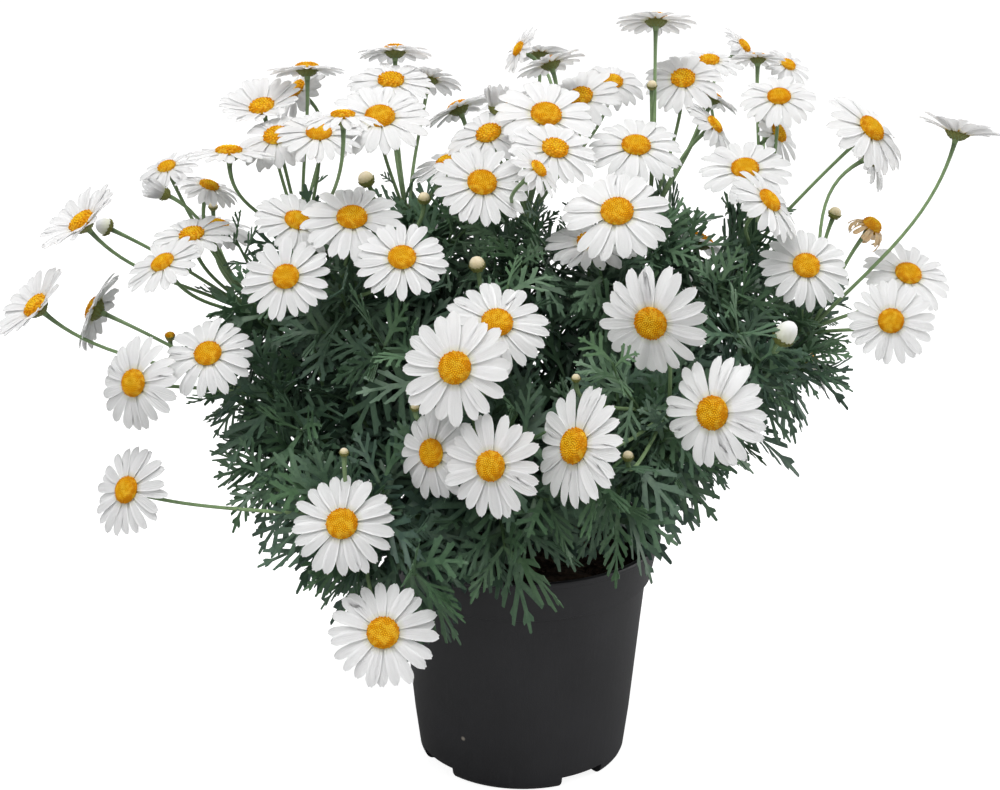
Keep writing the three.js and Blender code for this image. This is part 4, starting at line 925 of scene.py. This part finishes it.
class Surface(Nodes):
    """A material, with the three painted values of the mesh that it covers."""

    def __init__(self, name, roughness, specular, **sockets):
        super().__init__(bpy.data.materials.new(name))
        self.shader = self.tree.nodes["Principled BSDF"].inputs
        for socket, value in {"Roughness": roughness, "Specular IOR Level": specular, **sockets}.items():
            self.shader[socket.replace("_", " ")].default_value = value

    def painted(self):
        source = self.node("Attribute", attribute_name="paint")
        return self.node("SeparateXYZ", {0: source.outputs["Vector"]}).outputs

    def place(self):
        return self.node("TexCoord").outputs["Object"]

    def noise(self, scale, detail=3.0, vector=None):
        inputs = {"Scale": scale, "Detail": detail, "Vector": vector or self.place()}
        return self.node("TexNoise", inputs).outputs["Fac"]

    def ramp(self, factor, *stops):
        made = self.node("ValToRGB", {"Fac": factor})
        elements = made.color_ramp.elements
        while len(elements) < len(stops):
            elements.new(0.5)
        for element, (position, colour) in zip(elements, stops):
            element.position = position
            element.color = full(colour)
        return made.outputs["Color"]

    def coat(self, colour, *layers):
        """A colour under layers of others, each with how much of it shows."""
        for factor, tint in layers:
            colour = self.node("Mix", {0: factor, 6: full(colour), 7: full(tint)}, data_type="RGBA").outputs[2]
        return colour

    def finish(self, colour, height, strength, distance):
        bump = self.node("Bump", {"Height": height, "Strength": strength, "Distance": distance})
        self.connect(self.shader["Base Color"], colour)
        self.connect(self.shader["Normal"], bump.outputs["Normal"])
        return self.owner


def petal_material(name, white, base, shade):
    """White petals with fine grooves along them, a little green where they meet the disc."""
    skin = Surface(name, 0.55, 0.3, Subsurface_Weight=0.9, Subsurface_Radius=(1.0, 1.0, 1.0),
                   Subsurface_Scale=0.0015)
    along, across, tone = skin.painted()
    stretched = {k: skin.maths("MULTIPLY", value, scale)
                 for k, (value, scale) in enumerate([(across, 7.0), (along, 0.7), (tone, 60.0)])}
    veins = skin.noise(1.0, 2.0, skin.node("CombineXYZ", stretched).outputs[0])
    colour = skin.coat(skin.ramp(along, (0.0, base), (0.22, white)),
                       (skin.ramp(veins, (0.35, 0.0), (0.75, 0.3)), shade))
    return skin.finish(colour, veins, 0.5, 0.0005)


def disc_material():
    """Golden florets: greener and tighter in the middle, and deeper orange towards the edge, partly their own colour
    and partly painted shade. The gaps between them are painted deeper orange as shade.
    """
    skin = Surface("disc_florets", 0.7, 0.1)
    ring, raised, tone = skin.painted()
    uneven = skin.maths("ADD", ring, skin.maths("MULTIPLY", skin.noise(500.0), 0.35))
    # Deeper orange towards the disc's edge: partly the florets' own colour, partly painted shade.
    gold = skin.ramp(uneven, (0.2, (0.9, 0.67, 0.03)), (0.5, (0.96, 0.63, 0.012)), (0.85, (0.92, 0.46, 0.004)),
                     (1.15, (0.7, 0.25, 0.002)))
    # Painted shade: the low parts of the florets and the dome between them are darker orange.
    colour = skin.coat(gold, (skin.ramp(raised, (0.1, 1.0), (0.95, 0.0)), (0.6, 0.25, 0.002)),
                       (skin.ramp(skin.noise(420.0, 1.0), (0.45, 0.0), (0.7, 0.45)), (0.96, 0.76, 0.07)),
                       (tone, (0.16, 0.075, 0.02)))
    return skin.finish(colour, skin.noise(2600.0), 0.35, 0.0003)


def leaf_material():
    """Blue-green, slightly waxy leaves, lighter on the rib and yellower on young shoots. Lower leaves are darker and
    bluer as painted shade, and upper ones lighter as painted light.
    """
    skin = Surface("leaf_blade", 0.47, 0.4)
    rib, along, tone = skin.painted()
    patches, grain = skin.noise(45.0, 4.0), skin.noise(700.0, 3.0)
    chosen = skin.ramp(patches, (0.35, 0.0), (0.68, 1.0))
    # Painted shade and light: low is the darker, bluer colour of leaves low down, high the lighter colour of leaves
    # high up, blended by height below.
    low = skin.coat((0.02, 0.047, 0.039), (chosen, (0.05, 0.096, 0.077)))
    high = skin.coat((0.05, 0.1, 0.073), (chosen, (0.135, 0.21, 0.152)))
    level = skin.node("SeparateXYZ", {0: skin.place()}).outputs[2]
    colour = skin.coat(low, (skin.maths("MULTIPLY_ADD", level, 5.5, -0.62, clamp=True), high),
                       (skin.maths("ADD", tone, 0.0, clamp=True), (0.13, 0.27, 0.075)),
                       (skin.maths("MULTIPLY", rib, 0.45), (0.14, 0.24, 0.13)),
                       (skin.ramp(along, (0.0, 0.5), (0.3, 0.0)), (0.12, 0.19, 0.1)),
                       (skin.ramp(grain, (0.4, 0.0), (0.8, 0.35)), (0.02, 0.05, 0.035)))
    return skin.finish(colour, grain, 0.3, 0.0004)


def stalk_material():
    """Thin green stalks, darker and browner towards the head, and the scaly cups with brown edges."""
    skin = Surface("stalk_skin", 0.5, 0.35)
    along, brown, olive = skin.painted()
    streaks = skin.noise(260.0, 3.0)
    green = skin.ramp(along, (0.0, (0.12, 0.19, 0.085)), (0.3, (0.22, 0.33, 0.15)), (0.85, (0.2, 0.3, 0.14)),
                      (1.0, (0.09, 0.14, 0.06)))
    colour = skin.coat(green, (skin.ramp(streaks, (0.45, 0.0), (0.8, 0.5)), (0.1, 0.16, 0.07)),
                       (skin.maths("MULTIPLY", olive, 0.85), (0.2, 0.2, 0.04)),
                       (skin.maths("MULTIPLY", brown, 0.6), (0.13, 0.085, 0.03)))
    return skin.finish(colour, streaks, 0.35, 0.0003)


def wood_material():
    """Stems: brown and corky at the foot, green above."""
    skin = Surface("stem_bark", 0.7, 0.3)
    bark = skin.noise(320.0, 6.0)
    uneven = skin.maths("ADD", skin.painted()[0], skin.maths("MULTIPLY", bark, 0.25))
    stem = skin.ramp(uneven, (0.15, (0.1, 0.065, 0.035)), (0.5, (0.09, 0.12, 0.05)), (0.8, (0.09, 0.17, 0.07)))
    colour = skin.coat(stem, (skin.ramp(bark, (0.4, 0.0), (0.75, 0.6)), (0.04, 0.05, 0.025)))
    return skin.finish(colour, bark, 0.6, 0.0006)


def pot_material():
    """Dark grey moulded plastic with a soft sheen, faint vertical scuffs and specks of dried soil."""
    skin = Surface("pot_plastic", 0.5, 0.35)
    place = skin.place()
    drawn = skin.node("Mapping", {"Vector": place, "Scale": (1.0, 1.0, 0.12)}).outputs[0]
    scuffs, cloud = skin.noise(420.0, 5.0, drawn), skin.noise(24.0, 4.0)
    specks = skin.node("TexVoronoi", {"Scale": 85.0, "Vector": place}).outputs["Distance"]
    chosen = skin.maths("GREATER_THAN", skin.noise(31.0, 1.0), 0.62)
    dirt = skin.maths("MULTIPLY", skin.ramp(specks, (0.07, 1.0), (0.14, 0.0)), chosen)
    colour = skin.coat((0.0175, 0.0175, 0.0195),
                       (skin.ramp(cloud, (0.35, 0.0), (0.7, 1.0)), (0.0265, 0.0265, 0.0295)),
                       (skin.ramp(scuffs, (0.6, 0.0), (0.85, 0.45)), (0.035, 0.035, 0.038)),
                       (dirt, (0.33, 0.3, 0.25)))
    skin.connect(skin.shader["Roughness"], skin.ramp(cloud, (0.3, 0.42), (0.75, 0.58)))
    return skin.finish(colour, skin.maths("ADD", scuffs, skin.noise(1500.0, 2.0)), 0.18, 0.0003)


def soil_material():
    """Dark crumbly peat with lighter fibres and bark."""
    skin = Surface("potting_soil", 0.95, 0.15)
    crumbs, fibre = skin.noise(260.0, 8.0), skin.noise(90.0, 5.0)
    colour = skin.coat((0.012, 0.008, 0.006), (skin.ramp(crumbs, (0.35, 0.0), (0.7, 1.0)), (0.06, 0.038, 0.024)),
                       (skin.ramp(fibre, (0.62, 0.0), (0.75, 0.7)), (0.14, 0.09, 0.05)))
    return skin.finish(colour, crumbs, 0.9, 0.0015)


# The pot and its soil

def turned_object(name, corners, faces, turn=0.0):
    cosine, sine = math.cos(turn), math.sin(turn)
    x, y, z = corners.T
    turned = np.stack([x * cosine - y * sine, x * sine + y * cosine, z], axis=1)
    mesh = bpy.data.meshes.new(name)
    mesh.from_pydata((turned * MM).tolist(), [], [tuple(map(int, face)) for face in faces])
    return new_object(name, mesh)


def box_object(name, low, high, turn):
    corners = np.array([(x, y, z) for x in (low[0], high[0]) for y in (low[1], high[1]) for z in (low[2], high[2])])
    quads = [(0, 1, 3, 2), (4, 6, 7, 5), (0, 4, 5, 1), (2, 3, 7, 6), (0, 2, 6, 4), (1, 5, 7, 3)]
    return turned_object(name, corners, quads, turn)


def cut_by(piece, cutter, operation):
    change = piece.modifiers.new(cutter.name, "BOOLEAN")
    change.operation = operation
    change.object = cutter
    change.solver = "EXACT"


def make_pot(material):
    """The moulded pot: turned wall, collar and lip, with four drain channels cut under its edge."""
    height, rim, wall, base, step = POT.height, POT.rim, POT.wall, POT.base, POT.step
    collar, foot, edge = POT.collar, POT.collar_foot, POT.edge
    neck, lip_foot = rim - POT.lip, height - POT.lip_height
    mouth = neck - wall
    outside = [
        (base * 0.5, 0.0), *[(base - edge * (1 - math.sin(turn)), edge * (1 - math.cos(turn)))
                             for turn in np.linspace(0, math.pi / 2, 7)],
        *[(mixed(base, step, share), foot * share) for share in (0.25, 0.5, 0.75)], (step - 0.05, foot - 1.6),
        (step + 0.25, foot - 0.9), (collar - 0.7, foot - 0.25), (collar - 0.1, foot + 0.1), (collar + 0.1, foot + 0.9),
        (mixed(collar, neck, 0.5), mixed(foot, lip_foot, 0.5)), (neck, lip_foot - 0.3), (neck + 0.5, lip_foot + 0.1),
        (rim - 0.3, lip_foot + 0.35), (rim, lip_foot + 0.9)]
    profile = [(0.01, 0.0), *outside, (rim, height - 0.7), (rim - 0.3, height - 0.15), (rim - 0.9, height),
               (mouth + 0.5, height), (mouth + 0.1, height - 0.3), (mouth, height - 1.0), (collar - wall, foot + 2.5),
               (step - wall, foot - 2), (base - wall, edge + POT.floor / 2), (base - edge, POT.floor),
               (0.01, POT.floor)]
    sides, rows = POT.sides, len(profile)
    angles = turns(sides)
    rings = [np.stack([r * np.cos(angles), r * np.sin(angles), np.full(sides, z)], axis=1) for r, z in profile]
    grid = np.arange(rows * sides).reshape(rows, sides)
    after = np.roll(grid, -1, axis=1)
    quads = np.stack([grid[:-1], after[:-1], after[1:], grid[1:]], axis=-1).reshape(-1, 4)
    piece = turned_object("pot_shell", np.concatenate(rings), [grid[0, ::-1], *quads, grid[-1]])
    # The channels' own walls end inside the pot's.
    within = [(r * CHANNEL.within, z) for r, z in outside]
    inside = turned_object("inside", *turned_shape(within, sides, np.zeros(3), UP)[:2])
    cutters = []
    width, high, depth = CHANNEL.width, CHANNEL.height, CHANNEL.depth
    back = base - depth
    for k in range(CHANNEL.count):
        turn = math.radians(CHANNEL.turn - 90) + 2 * math.pi * k / CHANNEL.count
        roof = box_object("roof", (back - wall, -width / 2 - wall, 0.5), (base, width / 2 + wall, high + wall), turn)
        cut_by(roof, inside, "INTERSECT")
        room = box_object("room", (back, -width / 2, -high), (back + 2 * depth, width / 2, high), turn)
        middle = np.array((back + depth / 2 - 0.6, 0, high))
        drill = turned_shape([(CHANNEL.hole, -2 * high), (CHANNEL.hole, 2 * high)], 24, middle, UP)
        hole = turned_object("hole", *drill[:2], turn)
        cutters += [(roof, "UNION"), (room, "DIFFERENCE"), (hole, "DIFFERENCE")]
    for cutter, operation in cutters:
        cut_by(piece, cutter, operation)
    bpy.context.view_layer.update()
    mesh = bpy.data.meshes.new_from_object(piece.evaluated_get(bpy.context.evaluated_depsgraph_get()))
    piece.modifiers.clear()
    piece.data = mesh
    for cutter in [inside] + [cutter for cutter, _ in cutters]:
        bpy.data.objects.remove(cutter)
    mesh.materials.clear()
    dress(mesh, material, POT_CREASE)
    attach(piece, "root")
    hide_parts("pot")


def inner_radius(level):
    levels = [POT.floor, POT.collar_foot - 2, POT.collar_foot + 2.5, POT.height]
    return np.interp(level, levels, [POT.base, POT.step, POT.collar, POT.rim - POT.lip]) - POT.wall


def crowned(share):
    """The soil's level at a share of the way from its middle to its edge."""
    return SOIL.level + SOIL.crown * (1 - share ** 3)


def make_soil(material):
    """The soil: a lumpy top over a plain body that fills the pot, with loose crumbs on it."""
    rng = np.random.default_rng(SOIL_SEED)
    heap = Heap()
    gap = SOIL.gap
    foot = CHANNEL.height + POT.wall + gap
    levels = [foot, POT.collar_foot - 2, POT.collar_foot + 2.5, SOIL.level - 0.8]
    profile = [(inner_radius(level) - gap, level) for level in levels]
    edge = inner_radius(SOIL.level) - gap
    shares = [1 - (k + 1) / SOIL.rings for k in range(SOIL.rings)]
    profile += [(edge * max(share, 0.004), crowned(share)) for share in shares]
    points, faces, share = turned_shape(profile, SOIL.sides, np.zeros(3), UP)
    x, y, z = points.T
    waves = np.zeros(len(points))
    for size in SOIL.lumps:
        phase = rng.uniform(0, 6.28, 4)
        waves += size * 0.075 * (np.sin(x / size * 2.1 + phase[0]) * np.sin(y / size * 1.9 + phase[1])
                                 + 0.6 * np.sin((x + y) / size * 2.7 + phase[2]))
    inward = np.clip((edge - np.hypot(x, y)) / 6, 0, 1)
    points[:, 2] += (z > SOIL.level - 0.5) * waves * inward * 0.7
    heap.add(points, faces, share, 0, 0)
    count = SOIL.crumbs
    radius = edge * np.sqrt(rng.uniform(0, 0.94, count))
    angle = rng.uniform(0, 2 * math.pi, count)
    centre = np.stack([radius * np.cos(angle), radius * np.sin(angle), crowned(radius / edge) + 0.4], axis=1)
    corners = rng.normal(0, 1, (count, 6, 3)) * 0.25 + np.array(
        [(1, 0, 0), (0, 1, 0), (-1, 0, 0), (0, -1, 0), (0, 0, 1), (0, 0, -1)])
    size = rng.uniform(0.6, 2.0, (count, 1, 1)) * np.array([1.3, 1.0, 0.6])
    faces = [(0, 1, 4), (1, 2, 4), (2, 3, 4), (3, 0, 4), (1, 0, 5), (2, 1, 5), (3, 2, 5), (0, 3, 5)]
    heap.add(centre[:, None] + corners * size, faces, 0, 0, 0)
    make_piece("soil_surface", heap, material, ["soil"])


# The plant

def make_plant():
    leaf, stalk, wood = leaf_material(), stalk_material(), wood_material()
    petal = petal_material("petal_white", (0.9, 0.9, 0.905), (0.7, 0.72, 0.47), (0.81, 0.81, 0.82))
    bud_petal = petal_material("bud_cream", (0.78, 0.69, 0.5), (0.55, 0.5, 0.22), (0.62, 0.48, 0.3))
    dried = petal_material("petal_dried", (0.56, 0.37, 0.19), (0.38, 0.19, 0.05), (0.2, 0.075, 0.02))
    florets = disc_material()
    plans = all_plans()
    heads = [bloom for plan in plans for bloom in plan.blooms]
    for index, plan in enumerate(plans):
        name, direction = plan.name, plan.direction
        rng = np.random.default_rng(FIRST_SPRAY_SEED + index)
        spray, stem = f"flower_spray_{name}", f"leafy_stem_{name}"
        whites, greens, golds, creams, browns, leaves, branches = [Heap() for _ in range(7)]
        line = plan.top + direction * np.array(NECK_RINGS.along)[:, None]
        points, faces, _ = tube(line, NECK_RINGS.radii, STEM.sides)
        greens.add(points, faces, 0, 0, 0)
        for k, bloom in enumerate(plan.blooms):
            across, kind = bloom.across, bloom.kind
            neck = bloom.place - bloom.faces * (STALK.under + STALK.depth * across)
            plan.stalks.append(add_stalk(greens, bloom, neck, direction))
            add_head_back(greens, bloom)
            if kind == "withered":
                add_skirt(browns, bloom, rng)
                wide = changed(bloom, across=across * WITHERED.disc)
                add_disc(golds, wide, FLORETS[kind], WITHERED.tone, WITHERED.tall)
                continue
            count = 2 * int(rng.integers(*BLOOM.pairs))
            slope = rng.uniform(*BLOOM.slope)
            curl = slope + rng.uniform(*BLOOM.curl)
            if kind == "raised":
                slope, curl = slope + BLOOM.raised, BLOOM.raised_curl
            if kind == "front":
                add_petals(whites, FINE_PETAL, bloom, rng, count, slope, curl, BLOOM.front_width)
                gold = Heap()
                add_disc(gold, bloom, FLORETS["front"])
                make_piece(f"florets_{name}_{k + 1}", gold, florets, [f"bloom_disc_{name}_{k + 1}"])
            else:
                add_petals(whites, PLAIN_PETAL, bloom, rng, count, slope, curl, BLOOM.far_width)
                add_disc(golds, bloom, FLORETS["far"])
        for bud in plan.buds:
            neck = bud.place - bud.faces * bud.across / 2
            plan.stalks.append(add_stalk(greens, bud, neck, direction))
            add_bud(greens, whites, creams, golds, bud, rng)
        grow_stem(plan, leaves, branches, heads, rng)
        for kind, heap, material, node, slot in (
                ("petals", whites, petal, spray, "petal"), ("stalks", greens, stalk, spray, "leaf"),
                ("discs", golds, florets, spray, "disc"), ("buds", creams, bud_petal, spray, "petal"),
                ("dried_petals", browns, dried, spray, "petal"), ("leaves", leaves, leaf, stem, "leaf"),
                ("branches", branches, wood, stem, "leaf")):
            if heap.count:
                make_piece(f"{kind}_{name}", heap, material, [node])


# The studio

# How bright the room's own light is, and the floor to the camera. Only the camera sees the room as white.
AMBIENT, FLOOR_GLOW = 0.46, 0.87
FLOOR_HALF = 12
FILM_WIDTH = 36
# Round lights that face the plant's middle: where each is, its width in metres and its power.
AIM = (0, 0, 0.25)
LIGHTS = {"top": ((-0.25, -0.45, 2.3), 1.6, 34), "front": ((-0.9, -2.1, 1.5), 1.6, 12),
          "side": ((2.0, 0.3, 0.7), 1.2, 18)}


def make_studio():
    scene = bpy.context.scene
    data = bpy.data.cameras.new("camera")
    data.sensor_fit = "HORIZONTAL"
    data.sensor_width = FILM_WIDTH
    data.lens = FILM_WIDTH * PICTURE.focal / PICTURE.width
    data.clip_start = 0.02
    camera = new_object("camera", data)
    camera.location = EYE * MM
    camera.rotation_euler = (math.pi / 2 - PITCH, 0, 0)
    scene.camera = camera
    mesh = bpy.data.meshes.new("floor")
    far = FLOOR_HALF
    mesh.from_pydata([(-far, -far, 0), (far, -far, 0), (far, far, 0), (-far, far, 0)], [], [(0, 1, 2, 3)])
    floor = new_object("floor", mesh)
    ground = Surface("pale_floor", 0.8, 0.1, Base_Color=(0.5, 0.5, 0.5, 1), Emission_Color=(1, 1, 1, 1))
    ground.connect(ground.shader["Emission Strength"], ground.maths("MULTIPLY", ground.seen_by_camera(), FLOOR_GLOW))
    mesh.materials.append(ground.owner)
    scene.world = bpy.data.worlds.new("studio")
    room = Nodes(scene.world)
    level = room.maths("ADD", room.maths("MULTIPLY", room.seen_by_camera(), 1 - AMBIENT), AMBIENT)
    background = room.tree.nodes["Background"].inputs
    room.connect(background["Strength"], level)
    room.connect(background["Color"], (1, 1, 1, 1))
    scene.view_settings.view_transform = "Standard"
    for name, (place, size, power) in LIGHTS.items():
        data = bpy.data.lights.new(name, "AREA")
        data.shape = "DISK"
        data.size = size
        data.energy = power
        light = new_object(name, data)
        light.location = place
        x, y, z = np.array(place) - np.array(AIM)
        light.rotation_euler = (math.atan2(math.hypot(x, y), z), 0, math.atan2(y, x) + math.pi / 2)


make_studio()
make_pot(pot_material())
make_soil(soil_material())
make_plant()
